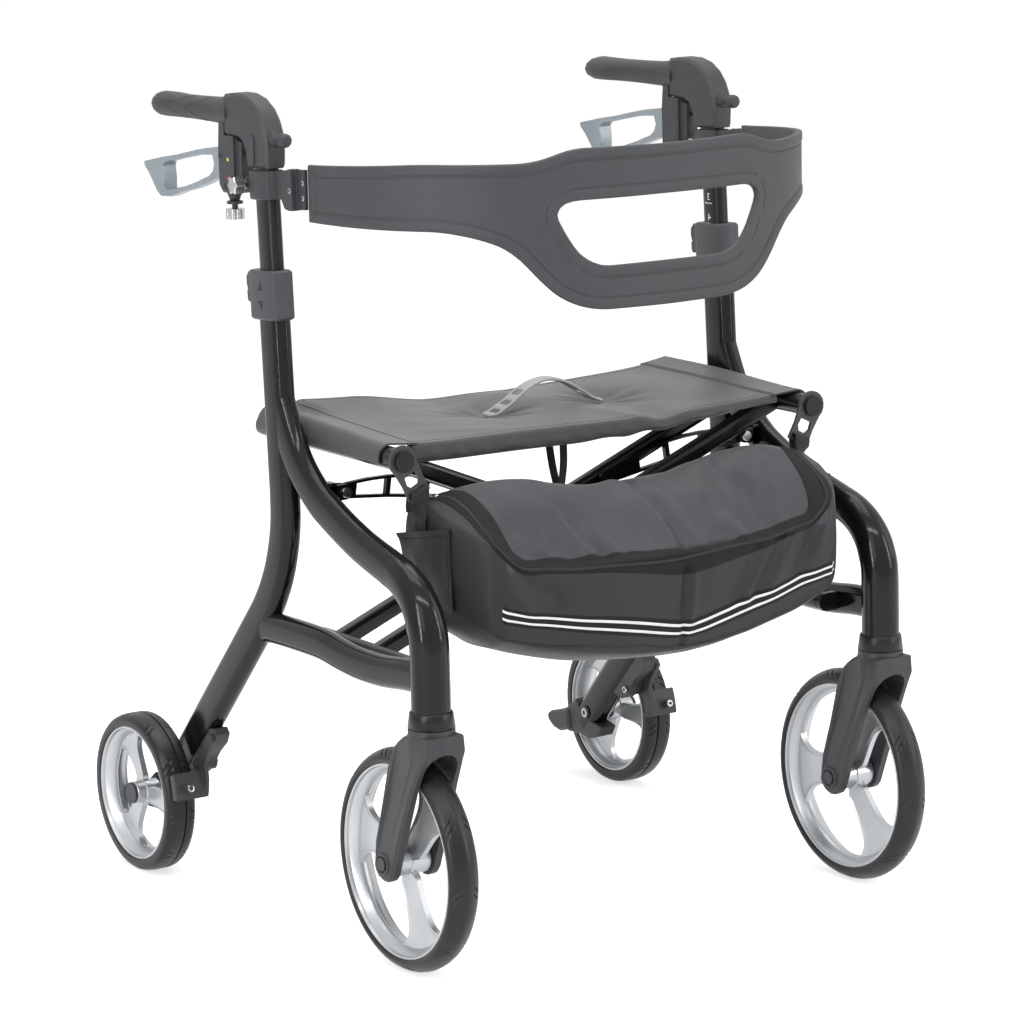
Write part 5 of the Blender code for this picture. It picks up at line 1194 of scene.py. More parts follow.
def seat_top(x, y):
    """The height of the cloth's upper face."""
    t = (SEAT_BACK_Y - y) / FLAT_DEPTH
    s = (x / RAIL_X + 1) / 2
    flat = max(0.0, 1 - abs(2 * s - 1) ** 4)
    lift = 6 * mm * (1 - ease(t, 0.3, 1.0)) * (1 - flat)
    sag = 7.3 * mm * flat
    crease = 6 * mm * math.exp(-((x - 20 * mm) / (45 * mm)) ** 2) * (1 - t) * math.sin(math.pi * t)
    ripple = 1.2 * mm * flat * math.sin(3 * math.pi * s + 5 * t)
    pulls = 0.0
    for end, sign in zip(STRAP_ENDS, (-1, 1)):
        away = math.hypot(x - end, y - STRAP_Y)
        spoke = math.atan2(y - STRAP_Y, sign * (x - end))
        pulls += 1.1 * mm * math.sin(9 * spoke + 0.6 * sign) * math.exp(-((away - 34 * mm) / (26 * mm)) ** 2)
    folds = 0.0
    for x0, y0, wide, deep, turn, high in SEAT_MOUNDS:
        folds += high * mm * bump_at(x, y, x0 * mm, y0 * mm, wide * mm, deep * mm, turn)
    at_rear_right = ease(-x, 60 * mm, 170 * mm) * (1 - ease(t, 0.0, 0.5))
    lift += 11 * mm * at_rear_right * (1 - ease(-x, 235 * mm, 262 * mm))
    return RAIL_Z + SLEEVE_RADIUS + lift - sag + crease + ripple + (pulls + folds) * flat


def front_drop(x):
    """How far the padded front edge hangs below the seat's upper face."""
    return (20 - 9 * ease(x, 30 * mm, 95 * mm) - 6 * ease(x, 150 * mm, 245 * mm)
            - 3 * bump_at(x, 0, 12 * mm, 0, 26 * mm, 1)) * mm


def seat_ring(x):
    """The middle cloth cut at x: over the top, round the padded front edge, back below, round the hem."""
    padding = (2 + 6 * ease(SEAT_SPLIT - abs(x), 0, 40 * mm)) * mm
    roll, drop, wall = 6 * mm, front_drop(x), 7 * mm
    first, last = SEAT_BACK_Y - 4 * mm, SEAT_FRONT_Y + roll
    top, low = [], []
    for y in evenly(first, last, 60):
        z = seat_top(x, y)
        top.append((x, y, z))
        if y > SEAT_FRONT_Y + roll + wall:
            rear = ease(y, SEAT_BACK_Y - 30 * mm, SEAT_BACK_Y)
            low.append((x, y, z - padding * (1 - rear) - 5 * mm * rear))
    z = seat_top(x, last)
    pucker = 1.2 * mm * math.sin(x / (6.5 * mm) + 2 * math.sin(x / (31 * mm)))
    front = [(x, last - roll * math.sin(math.radians(a)), z - roll * (1 - math.cos(math.radians(a))))
             for a in (18, 36, 54, 72, 90)]
    hang = max(2 * mm, drop - roll)
    for share in (0.35, 0.7, 1.0):
        bulge = (pucker + 1.5 * mm) * math.sin(math.pi * share)
        front.append((x, SEAT_FRONT_Y - bulge, z - roll - hang * share))
    foot = z - roll - hang
    inner_top = (foot + z - padding) / 2 if drop > 10 * mm else foot + 1.5 * mm
    front += [(x, SEAT_FRONT_Y + 1.5 * mm, foot - 1.6 * mm),
              (x, SEAT_FRONT_Y + wall - 2.5 * mm, foot - 1.6 * mm),
              (x, SEAT_FRONT_Y + wall, foot + 0.5 * mm), (x, SEAT_FRONT_Y + wall, inner_top)]
    upper, lower = top[0], low[0]
    middle, half = (upper[2] + lower[2]) / 2, (upper[2] - lower[2]) / 2
    back = [(x, first + 3 * mm * math.sin(math.pi * k / 6), middle - half * math.cos(math.pi * k / 6))
            for k in range(1, 6)]
    return [*top, *front, *low[::-1], *back]


print("the seat's top is", round(seat_top(0, STRAP_Y), 3), "m high under the strap")

# %% Seat cloth


def with_cloth_uv(bm):
    """Gives a skin a UV map in metres: each face is seen along the axis that it looks along most."""
    layer = bm.loops.layers.uv.new("cloth")
    for face in bm.faces:
        normal = face.normal
        for loop in face.loops:
            x, y, z = loop.vert.co
            if abs(normal.z) >= max(abs(normal.x), abs(normal.y)):
                loop[layer].uv = (x, y)
            elif abs(normal.x) > abs(normal.y):
                loop[layer].uv = (y, z)
            else:
                loop[layer].uv = (x, z)
    return bm


seat_rings = [seat_ring(x) for x in evenly(-SEAT_SPLIT, SEAT_SPLIT, 150)]
seat_cloth = piece_from(with_cloth_uv(extruded_rings(seat_rings)), "seat_middle_cloth", "seat_fabric",
                        body_of("seat_cloth"), sharp=180, standing_for=("seat_cloth",))
narrows(seat_cloth)


# %% [markdown]
# A sleeve is a second piece of cloth: its flap lies on the middle cloth, where a row of stitches holds
# it, and the rest goes round the rail.
# %% Seat sleeves and seams


def sleeve_ring(side, y):
    """A sleeve cut at y: its flap on the middle cloth, over the rail and round to below it."""
    t = (SEAT_BACK_Y - y) / FLAT_DEPTH
    lift = 6 * mm * (1 - ease(t, 0.3, 1.0))
    outer, inner = [], []
    for x in (SEAT_SPLIT - 6 * mm, SEAT_SPLIT - 5.4 * mm, SEAT_SPLIT, 258 * mm, 266 * mm, 273 * mm):
        z = seat_top(side * x, y) + 0.9 * mm
        outer.append((side * x, y, z - (0.6 * mm if x < SEAT_SPLIT - 5.6 * mm else 0)))
        inner.append((side * x, y, z - CLOTH - 0.2 * mm))
    for k in range(13):
        angle = math.radians(90 - 112.5 * k / 12)
        rise = max(0.0, math.sin(angle)) ** 3 * (lift + 0.7 * mm)
        for radius, line in ((SLEEVE_RADIUS + 0.2 * mm, outer), (SLEEVE_RADIUS - CLOTH, inner)):
            line.append((side * (RAIL_X + radius * math.cos(angle)), y,
                         RAIL_Z + radius * math.sin(angle) + rise))
    return [*outer, *inner[::-1]]


UPWARD = Vector((0, 0, 1))
RAIL_BODY = {"right": "seat_level", "left": "left_hanger"}     # what each end of seat and bag rides on
for side_name, side in SIDES:
    rings = [sleeve_ring(side, y) for y in evenly(SEAT_BACK_Y, SEAT_FRONT_Y, 30)]
    sleeve = piece_from(with_cloth_uv(extruded_rings(rings)), f"{side_name}_seat_sleeve", "seat_fabric",
                        RAIL_BODY[side_name], sharp=50)
    seam_x = side * (SEAT_SPLIT - 2 * mm)
    seam = [Vector((seam_x, y, seat_top(seam_x, y) + 1.0 * mm))
            for y in evenly(SEAT_BACK_Y - 4 * mm, SEAT_FRONT_Y + 4 * mm, 120)]
    stitch_row(f"{side_name}_sleeve_thread", seam, UPWARD, RAIL_BODY[side_name])
for label, y in (("front", SEAT_FRONT_Y + 13 * mm), ("rear", SEAT_BACK_Y - 13 * mm)):
    line = [Vector((x, y, seat_top(x, y) - 0.1 * mm))
            for x in evenly(-SEAT_SPLIT + 8 * mm, SEAT_SPLIT - 8 * mm, 160)]
    narrows(stitch_row(f"seat_{label}_thread", line, UPWARD, "seat_level"))
print("two sleeves and four rows of stitches")

# %% [markdown]
# The strap that lifts the seat to fold the frame is a pale moulding with small windows at its ends. It
# starts as a coarse grid with the windows taken out, is bent to its arch and given a thickness, and a
# subdivision surface then rounds its ends and windows alike.
# %% Pull strap
STRAP_COLUMNS, STRAP_ROWS = 40, 6
STRAP_WIDTH, STRAP_RISE = 25 * mm, 25 * mm
STRAP_WINDOWS = ((2, 4), (6, 8), (10, 12), (32, 34), (36, 38))     # first and last column of each

strap = grid_sheet(STRAP_COLUMNS, STRAP_ROWS)
taken = []
for face in strap.faces:
    middle = face.calc_center_median()
    column, row = (middle.x + 1) / 2 * STRAP_COLUMNS, (middle.y + 1) / 2 * STRAP_ROWS
    if 1 < row < STRAP_ROWS - 1 and any(a < column < b for a, b in STRAP_WINDOWS):
        taken.append(face)
bmesh.ops.delete(strap, geom=taken, context="FACES")
top_verts = second_face(strap)
for vert in strap.verts:
    t, s = (vert.co.x + 1) / 2, vert.co.y
    x = STRAP_ENDS[0] + (STRAP_ENDS[1] - STRAP_ENDS[0]) * t
    end = min(t, 1 - t) / 0.075
    rounded = 0.62 + 0.38 * math.sqrt(max(0.0, 1 - (1 - min(1.0, end)) ** 2))
    narrow = rounded * (1 - 0.2 * math.sin(math.pi * t) ** 3)
    y = STRAP_Y + s * STRAP_WIDTH / 2 * narrow
    cloth = max(seat_top(x, STRAP_Y + k * STRAP_WIDTH / 2) for k in (-1, -0.5, 0, 0.5, 1))
    arch = STRAP_RISE * math.sin(math.pi * t) ** 1.6
    thick = 4.4 * mm * (1 - 0.2 * abs(s))
    vert.co = (x, y, cloth + 0.4 * mm + arch + (thick if vert in top_verts else 0))
bmesh.ops.recalc_face_normals(strap, faces=strap.faces)
strap_piece = piece_from(strap, "lifting_strap", "strap_grey", body_of("pull_strap"), sharp=180,
                         standing_for=("pull_strap",))
smooth = strap_piece.modifiers.new("round", "SUBSURF")
smooth.levels = smooth.render_levels = 2
narrows(strap_piece)
print("strap with", len(STRAP_WINDOWS), "windows")

# %% [markdown]
# ## Bag
#
# The bag is one skin of nylon: a section of twelve points, drawn for each place across the rollator, is
# run through by a closed curve, and its rings are extruded from end to end. The front corners turn
# where the section draws back. Every place on the skin is named by x and by a number that runs round
# the section, so that folds, tapes, stripes and seams can all be laid along the same lines.
# %% The bag's section
BAG_BACK_Y, BAG_HALF, BAG_TURN = -187 * mm, 258 * mm, 222 * mm
BAG_POINTS = 12                       # points of the section
BAG_SPANS = 12                        # steps from one of them to the next
BAG_STEPS = [k / BAG_SPANS for k in range(BAG_POINTS * BAG_SPANS)]
V_LENGTH = 43.0                       # about how many millimetres v grows by 1 in


def bag_section(x):
    """The section's points (y, z) at x, from the bag's back over its floor, front and lid."""
    away = abs(x)
    turn = max(0.0, (away - BAG_TURN) / (36 * mm))
    front = -352 * mm + 18 * mm * (away / (226 * mm)) ** 2 + 46 * mm * turn ** 2
    floor = 334 * mm + 37 * mm * (away / BAG_TURN) ** 2 + 14 * mm * turn
    seam = 447 * mm + 7 * mm * ease(away, 120 * mm, 190 * mm) + 46 * mm * ease(away, 185 * mm, 268 * mm)
    crest = 512.5 * mm + 19 * mm * ease(away, 30 * mm, 190 * mm) - 14 * mm * ease(away, 195 * mm, 265 * mm)
    deep = BAG_BACK_Y - front
    return [Vector(p) for p in (
        (BAG_BACK_Y, floor + 12 * mm), (BAG_BACK_Y - deep * 0.3, floor - 10 * mm),
        (front + deep * 0.33, floor - 12 * mm), (front + 12 * mm, floor), (front + 2 * mm, floor + 14 * mm),
        (front, (floor + seam) / 2), (front + 3 * mm, seam - 8 * mm), (front + 14 * mm, seam + 6 * mm),
        (front + deep * 0.34, seam + (crest - seam) * 0.62), (front + deep * 0.64, crest),
        (BAG_BACK_Y - deep * 0.14, crest - 7 * mm), (BAG_BACK_Y, crest - 34 * mm))]


def on_section(points, v):
    """A place on the closed curve through the section's points, v from 0 to 12."""
    i = int(v)
    return spline_at(*(points[(i + k) % BAG_POINTS] for k in (-1, 0, 1, 2)), v - i)


print("section of", BAG_POINTS, "points")

# %% [markdown]
# A bag that isn't full is creased. Each fold is a line on the skin with a height and a half width: the
# deep ones were placed one by one, and a little noise and the gathers at the lid's seam lie over them.
# %% Folds of the bag
# Folds: (height, half width, [(x, v), ...]), with lengths in millimetres
BAG_FOLDS = (
    (-5.5, 8, [(4, 9.3), (9, 8.6), (12, 8.0), (13, 7.5), (15, 7.05)]),
    (3.5, 12, [(-16, 9.2), (-8, 8.5), (-1, 7.9), (3, 7.4)]),
    (4.0, 9, [(27, 8.3), (27, 7.6), (27, 7.1)]),
    (2.0, 26, [(45, 9.0), (60, 8.1)]),
    (-4.5, 8, [(-114, 7.9), (-101, 7.45), (-88, 7.1)]),
    (3.0, 10, [(-136, 8.2), (-120, 7.7), (-106, 7.25)]),
    (2.6, 9, [(-94, 7.6), (-80, 7.2)]),
    (3.0, 7, [(-186, 7.42), (-168, 7.25), (-150, 7.1)]),
    (-2.5, 12, [(-196, 8.6), (-184, 7.9)]),
    (-2.5, 9, [(-150, 7.4), (-136, 7.1)]),
    (3.2, 12, [(98, 9.3), (88, 8.8), (76, 8.2)]),
    (-3.4, 10, [(116, 9.1), (106, 8.4), (98, 7.8)]),
    (2.8, 12, [(128, 8.7), (150, 8.1)]),
    (-3.0, 14, [(152, 8.3), (130, 7.5)]),
    (3.0, 12, [(174, 8.5), (160, 7.6)]),
    (3.0, 9, [(78, 7.4), (94, 7.05)]),
    (-2.5, 9, [(60, 7.5), (70, 7.1)]),
    (2.2, 16, [(-34, 9.1), (-107, 8.5)]),
    (-2.2, 18, [(-60, 8.2), (-30, 7.5)]),
    (2.0, 22, [(-150, 9.3), (-120, 8.6)]),
    (-4.5, 10, [(150, 6.1), (126, 5.46), (104, 4.85)]),
    (3.6, 9, [(134, 5.9), (110, 5.3), (92, 4.85)]),
    (-3.2, 9, [(112, 5.9), (90, 5.2), (76, 4.85)]),
    (3.2, 10, [(170, 6.2), (150, 5.6), (128, 5.0)]),
    (-4.5, 11, [(203, 6.2), (190, 5.6), (174, 5.0)]),
    (3.0, 9, [(219, 6.1), (204, 5.4)]),
    (-3.6, 4, [(9, 5.7), (4, 4.9), (0, 3.6)]),
    (3.0, 7, [(19, 5.7), (15, 5.1), (11, 4.6)]),
    (2.0, 14, [(48, 5.6), (34, 5.0)]),
    (1.6, 30, [(-120, 5.6), (-60, 5.3)]),
    (-2.4, 10, [(-205, 6.0), (-190, 5.6), (-165, 5.4)]),
    (1.8, 9, [(-214, 5.3), (-196, 5.0)]),
    (-2.6, 3.2, [(-226, 3.5), (-183, 3.55), (-132, 3.88), (-56, 3.95), (0, 3.6), (106, 3.67), (226, 3.45)]),
    (-2.0, 3, [(-228, 6.3), (-228, 5.2), (-226, 3.7)]),
    (-2.0, 3, [(228, 6.3), (228, 5.2), (226, 3.7)]),
)
FOLD_REACH = 70                       # past this many millimetres to its side, a fold isn't felt


def fold_height(x, v):
    """How far the skin stands out of its plain shape, in metres."""
    total = 0.0
    px, pv = x / mm, v * V_LENGTH
    for height, wide, line in BAG_FOLDS:
        start, end = sorted((line[0][0], line[-1][0]))
        if not start - FOLD_REACH <= px <= end + FOLD_REACH:
            continue
        nearest = 1e9
        for (ax, av), (bx, bv) in zip(line, line[1:]):
            av, bv = av * V_LENGTH, bv * V_LENGTH
            ux, uv = bx - ax, bv - av
            t = min(1.0, max(0.0, ((px - ax) * ux + (pv - av) * uv) / (ux * ux + uv * uv)))
            nearest = min(nearest, (px - ax - ux * t) ** 2 + (pv - av - uv * t) ** 2)
        total += height * math.exp(-nearest / wide ** 2)
    lid = ease(v, 7.0, 7.6) * (1 - ease(v, 10.6, 11.4))
    total += noise.noise(Vector((px / 85, pv / 70, 3.1))) * (1.6 + 2.4 * lid)
    total += noise.noise(Vector((px / 34, pv / 30, 7.7))) * (0.7 + 0.6 * lid)
    gathers = math.exp(-((v - 7.2) / 0.28) ** 2) * ease(abs(px), 5, 20)
    total += 1.0 * gathers * math.sin(px / 4.6 + 2.2 * noise.noise(Vector((px / 28, 1.3, 0))))
    return total * mm


print(len(BAG_FOLDS), "folds")

# %% Bag skin


def bag_plain(x, v):
    """A place on the skin before its folds."""
    place = on_section(bag_section(x), v % BAG_POINTS)
    return Vector((x, place.x, place.y))


def bag_place(x, v, lift=0.0):
    """A place on the folded skin and the way out of it there."""
    step = 0.02
    middle = bag_plain(x, v)
    along = bag_plain(min(x + mm, BAG_HALF), v) - bag_plain(max(x - mm, -BAG_HALF), v)
    around = bag_plain(x, v + step) - bag_plain(x, v - step)
    out = along.cross(around).normalized()
    fade = 1 - ease(abs(x), 232 * mm, 256 * mm)
    return middle + out * (fold_height(x, v) * fade + lift), out


def bag_end(side, inset):
    """A ring of the bag's end panel, drawn in towards its middle by a share."""
    rim = [bag_plain(side * BAG_HALF, v) for v in BAG_STEPS]
    middle = sum(rim, Vector()) / len(rim)
    ring = []
    for point in rim:
        place = point.lerp(middle, inset)
        wave = noise.noise(Vector((place.y / (26 * mm), place.z / (60 * mm), 5.0 * side))) * 2.4 * mm
        pleat = -2.6 * mm * math.exp(-((place.y + 290 * mm) / (3.5 * mm)) ** 2)
        pleat += 2.2 * mm * math.exp(-((place.y + 298 * mm) / (5 * mm)) ** 2)
        full = min(1.0, inset / 0.12)
        place.x += side * (1.0 * mm * full + (wave + pleat) * full * (1 - inset ** 3))
        ring.append(place)
    return ring


corner = evenly(BAG_TURN, BAG_HALF, 12)[1:-1]
across_bag = [*(-x for x in reversed(corner)), *evenly(-BAG_TURN, BAG_TURN, 148), *corner]
insets = (0.0, 0.03, 0.07, 0.12, 0.2, 0.3, 0.42, 0.56, 0.72, 0.9)
bag_rings = [*(bag_end(-1, s) for s in reversed(insets)),
             *([bag_place(x, v)[0] for v in BAG_STEPS] for x in across_bag),
             *(bag_end(1, s) for s in insets)]
bag = with_cloth_uv(extruded_rings(bag_rings))
bag_piece = piece_from(bag, "front_bag", "bag_fabric", body_of("bag"), sharp=180, standing_for=("bag",))
# Faces of the lid that look up get a lighter, bluer copy of the bag's nylon: painted sheen from above.
bag_piece.data.materials.append(finish(
    "lid_nylon_painted_sheen", (0.012, 0.014, 0.019), (0.019, 0.021, 0.028), (0.33, 0.45), group="woven_threads",
    grains=420, depth=0.1 * mm, patches=9, sheen=0.15))
PAINTED_SHEEN_HALF, PAINTED_SHEEN_LOW_Z = 219 * mm, 452 * mm
for face in bag_piece.data.polygons:
    if abs(face.center.x) < PAINTED_SHEEN_HALF and face.center.z > PAINTED_SHEEN_LOW_Z and face.normal.z > 0.15:
        face.material_index = 1


def on_bag(made):
    """A piece sewn to the bag gets its own copy of its mesh."""
    return narrows(made)


on_bag(bag_piece)
print("bag of", len(bag_piece.data.polygons), "faces")

# %% [markdown]
# Tapes and stripes are strips laid on the skin between two lines of places, a little above it, with
# their edges turned down. The zip runs along the lid's front and up both ends between two ribbed
# tapes, and its teeth are small bars set across it.
# %% Tapes, zip and stripes


def line_through(places, count):
    """Places (x in mm, v) run through by a smooth curve, cut in equal lengths."""
    curve = through([Vector((x, v * V_LENGTH)) for x, v in places], 12)
    lengths = lengths_along(curve)
    cut, at = [], 0
    for want in evenly(0.0, lengths[-1], count):
        while at < len(lengths) - 2 and lengths[at + 1] < want:
            at += 1
        share = (want - lengths[at]) / max(1e-9, lengths[at + 1] - lengths[at])
        place = curve[at].lerp(curve[at + 1], min(1.0, share))
        cut.append((place.x * mm, place.y / V_LENGTH))
    return cut


def shifted(line, by):
    """A line of places (x, v) moved round the section by a step of v."""
    return [(x, v + by) for x, v in line]


def strip(name, look, lower, upper, columns, rows, lift):
    """A strip on the bag between two lines of places."""
    low, high = line_through(lower, columns), line_through(upper, columns)
    rings = []
    for i, ((xa, va), (xb, vb)) in enumerate(zip(low, high)):
        end = min(1.0, i / 2, (columns - i) / 2 + 0.01)
        top, under = [], []
        for t in evenly(0.0, 1.0, rows):
            place, out = bag_place(xa + (xb - xa) * t, va + (vb - va) * t)
            edge = math.sqrt(max(0.0, 1 - abs(2 * t - 1) ** 6)) * end
            top.append(place + out * (lift * edge))
            under.append(place - out * 1.2 * mm)
        rings.append([*top, *under[::-1]])
    on_bag(piece_from(with_cloth_uv(extruded_rings(rings)), name, look, body_of("bag"), sharp=55))


# Lines on the bag, as (x in millimetres, v)
ZIP_LINE = [(-243, 10.2), (-240, 9.6), (-236, 9.05), (-231, 8.4), (-230, 7.6), (-228, 6.9),
            (-222, 6.45), (-207, 6.25), (-181, 6.27), (-124, 6.33), (-53, 6.12), (5, 6.08), (89, 6.38),
            (172, 6.62), (207, 6.62), (222, 6.75), (230, 7.3), (232, 8.2), (236, 9.05), (241, 9.7),
            (244, 10.3)]
LID_EDGE = [(-232, 10.3), (-228, 9.8), (-220, 9.25), (-210, 8.5), (-206, 7.75), (-203, 7.3),
            (-198, 7.08), (-190, 7.0), (-178, 7.02), (-146, 7.08), (-95, 7.1), (-19, 7.0), (19, 6.85),
            (61, 6.85), (117, 7.05), (171, 7.1), (198, 7.15), (208, 7.6), (214, 8.4), (224, 9.3),
            (232, 10.3)]
LOW_EDGE_ZIP = [(-251, 10.2), (-248, 9.4), (-244, 8.7), (-239, 7.9), (-237, 7.2), (-234, 6.5),
                (-226, 6.05), (-205, 5.92), (-170, 6.0), (-124, 6.02), (-53, 5.8), (8, 5.62),
                (77, 5.78), (156, 6.05), (205, 6.2), (226, 6.3), (236, 6.9), (240, 8.0), (245, 9.0),
                (249, 9.7), (252, 10.3)]
STRIPE = [(-227, 4.62), (-200, 4.72), (-160, 4.78), (-108, 4.76), (-57, 4.66), (1, 4.46), (24, 4.47),
          (60, 4.6), (103, 4.71), (172, 4.76), (205, 4.62), (229, 4.42)]
finish("ribbed_black_tape", (0.005, 0.005, 0.006), (0.01, 0.01, 0.011), (0.55, 0.7),
       group="woven_threads", grains=900, depth=0.3 * mm, patches=120, ior=1.33)
finish("reflective_white_band", (0.72, 0.72, 0.72), (0.8, 0.8, 0.8), (0.42, 0.55), grains=1500,
       depth=0.05 * mm, patches=60, dusty=0.0)

strip("upper_zip_tape", "ribbed_black_tape", shifted(ZIP_LINE, 0.03), LID_EDGE, 260, 6, 1.4 * mm)
strip("lower_zip_tape", "ribbed_black_tape", LOW_EDGE_ZIP, shifted(ZIP_LINE, -0.05), 260, 6, 0.9 * mm)
zip_places = [bag_place(x, v, 0.9 * mm) for x, v in line_through(ZIP_LINE, 600)]
on_bag(stitch_row("zip_teeth", [p for p, _ in zip_places], [o for _, o in zip_places], body_of("bag"),
                  pitch=2.3 * mm, length=1.2 * mm, width=3.4 * mm))
strip("stripe_tape", "ribbed_black_tape", shifted(STRIPE, -0.36), shifted(STRIPE, 0.14), 220, 5, 0.7 * mm)
for label, drop in (("upper", 0.0), ("lower", 0.215)):
    strip(label + "_white_stripe", "reflective_white_band", shifted(STRIPE, -drop - 0.062),
          shifted(STRIPE, -drop + 0.062), 220, 3, 1.1 * mm)
print("two zip tapes,", len(zip_places), "places on the zip, two white stripes")

# %% [markdown]
# Each end of the bag has a flat pocket sewn on three sides, whose bound top edge stands away a little.
# %% End pockets
POCKET_FRONT_Y, POCKET_BACK_Y = -281 * mm, -186 * mm
POCKET_LOW_Z = 404 * mm
POCKET_TOP_Z = (479 * mm, 497 * mm)      # at the back and at the front


def pocket_place(side, across, up, lift=0.0):
    """A place on a pocket's outer face. across runs from its back to its front, up to its bound edge."""
    top = POCKET_TOP_Z[0] + (POCKET_TOP_Z[1] - POCKET_TOP_Z[0]) * across
    z = POCKET_LOW_Z + (top - POCKET_LOW_Z) * up
    y = POCKET_BACK_Y + (POCKET_FRONT_Y - POCKET_BACK_Y) * across + 6 * mm * (1 - up) * (0.5 - across)
    sewn = min(1.0, across / 0.12, (1 - across) / 0.08, up / 0.1)
    belly = 3.4 * mm * math.sin(math.pi * up) * math.sin(math.pi * across)
    open_edge = (9.0 - 6.5 * across) * mm * up ** 4 * min(1.0, (1 - across) / 0.1)
    crease = noise.noise(Vector((across * 3.1, up * 2.2 + across * 1.7, 9.0 + side))) * 2.6 * mm
    away = 1.6 * mm + max(0.0, sewn) * (belly + crease) + open_edge + lift
    return Vector((side * (BAG_HALF + 1 * mm + away), y, z))


for side_name, side in SIDES:
    pocket = grid_sheet(30, 36)
    skin = second_face(pocket)
    for vert in pocket.verts:
        across, up = shares(vert)
        hem = 0.9 * mm * ease(up, 0.915, 0.93)
        vert.co = pocket_place(side, across, up, hem if vert in skin else -1.6 * mm)
    bmesh.ops.recalc_face_normals(pocket, faces=pocket.faces)
    on_bag(piece_from(with_cloth_uv(pocket), f"{side_name}_end_pocket", "bag_fabric", body_of("bag"),
                      sharp=60))
    seams = [[pocket_place(side, k / 60, 0.9, 0.2 * mm) for k in range(61)],
             [pocket_place(side, 0.95, k / 60, 0.2 * mm) for k in range(56)]]
    for index, seam in enumerate(seams):
        on_bag(stitch_row(f"{side_name}_pocket_thread_{index}", seam, Vector((side, 0, 0)), body_of("bag"),
                          pitch=3.2 * mm, length=2.1 * mm, width=0.6 * mm))
print("two end pockets")

# %% [markdown]
# A webbing tab holds each end of the bag. It passes through the slot of the hanger, hangs double, turns
# by a quarter and is sewn down with a square and a cross.
# %% Webbing tabs
WEBBING = 2.0 * mm
TAB_WIDTH = 22 * mm
HANGER_LEAN = math.radians(27)
RIBBON_SECTION = mirrored([(-0.5, 0.25), (-0.46, 0.5), (-0.2, 0.5), (0, 0.5), (0.2, 0.5), (0.46, 0.5),
                           (0.5, 0.25)])
# Through the slot from behind, over its bar, down in front and on to the bag's end: x, y and z in
# millimetres, and the turn from 0, in line with the hanger's slot, to 1, in line with the bag's end
TAB_ROUTE = [(262.5, -216.6, 506, 0.5), (262.5, -216.2, 518, 0.15), (262.3, -216.4, 527, 0),
             (262.3, -218, 531.2, 0), (262.3, -221.5, 532.4, 0), (262.3, -225.4, 531.4, 0),
             (262.4, -226.6, 527, 0.02), (263, -226.6, 518, 0.2), (263.4, -226, 508, 0.75),
             (262.2, -224.6, 499, 1.0), (261.6, -224, 490, 1.0), (261.6, -224, 476, 1.0)]
TAB_SPANS = 5                            # steps from one place of the route to the next
TAB_END_X = 261.6 * mm
SEWN_SQUARE = ((-215, 498), (-233, 498), (-233, 479), (-215, 479))
finish("black_webbing", (0.012, 0.012, 0.014), (0.022, 0.022, 0.024), (0.5, 0.65),
       group="woven_threads", grains=1100, depth=0.35 * mm, patches=150)


def ribbon(places, acrosses, width, thick, name, look, body):
    """A flat band along a line of places, whose width lies along its own direction at each of them."""
    rings = []
    for i, (place, across) in enumerate(zip(places, acrosses)):
        ahead = ahead_at(places, i)
        across = (across - ahead * across.dot(ahead)).normalized()
        out = across.cross(ahead)
        rings.append([place + across * (a * width) + out * (b * thick) for a, b in RIBBON_SECTION])
    return piece_from(with_cloth_uv(extruded_rings(rings)), name, look, body, sharp=60)


tab_turns = [turn for (_, _, _, a), (_, _, _, b) in zip(TAB_ROUTE, TAB_ROUTE[1:])
             for turn in evenly(a, b, TAB_SPANS)[:-1]] + [TAB_ROUTE[-1][3]]
for side_name, side in SIDES:
    body = RAIL_BODY[side_name]
    leaning = Vector((side * math.cos(HANGER_LEAN), 0, -math.sin(HANGER_LEAN)))
    line = through([Vector((side * x, y, z)) * mm for x, y, z, _ in TAB_ROUTE], TAB_SPANS)
    acrosses = [leaning.lerp(Vector((0, 1, 0)), turn).normalized() for turn in tab_turns]
    tab = ribbon(line, acrosses, TAB_WIDTH, WEBBING, f"{side_name}_bag_tab", "black_webbing", body)
    face_x = side * (TAB_END_X + WEBBING / 2)
    corners = [Vector((face_x, y * mm, z * mm)) for y, z in SEWN_SQUARE]
    for index, path in enumerate(([*corners, corners[0], corners[2]], [corners[1], corners[3]])):
        fine = [a.lerp(b, k / 8) for a, b in zip(path, path[1:]) for k in range(8)] + [path[-1]]
        stitch_row(f"{side_name}_tab_thread_{index}", fine, Vector((side, 0, 0)), body,
                   pitch=2.6 * mm, length=1.9 * mm, width=0.5 * mm)
print("two webbing tabs")

# %% [markdown]
# A loop of webbing hangs from the strap's place under the seat and goes round the brace's cross bolt,
# so that pulling the strap up folds the frame.
# %% Lifting webbing
LIFT_WIDTH = 12 * mm
LIFT_ROUTE = ((0, -84, 571), (0, -86, 545), (-1, -95, 512), (0, -102.5, 489), (1, -106, 482),
              (1, -110, 488), (3, -113, 515), (6, -108, 548), (8, -104, 571))
lift_line = through([Vector(p) * mm for p in LIFT_ROUTE], 6)
lifting = ribbon(lift_line, [Vector((1, 0.25, 0))] * len(lift_line), LIFT_WIDTH, 1.6 * mm,
                 "lifting_webbing", "black_webbing", "seat_level")
narrows(lifting)

# %% [markdown]
# The zip's slider has a pull that lies on the tape at the near end.
# %% Zip pull
place, out = bag_place(-240 * mm, 9.5, 2.2 * mm)
along = (bag_place(-236 * mm, 9.0, 2.2 * mm)[0] - place).normalized()
across = out.cross(along).normalized()


def on_zip(a, b, h):
    """A place along, across and above the zip's slider."""
    return place + along * a + across * b + out * h


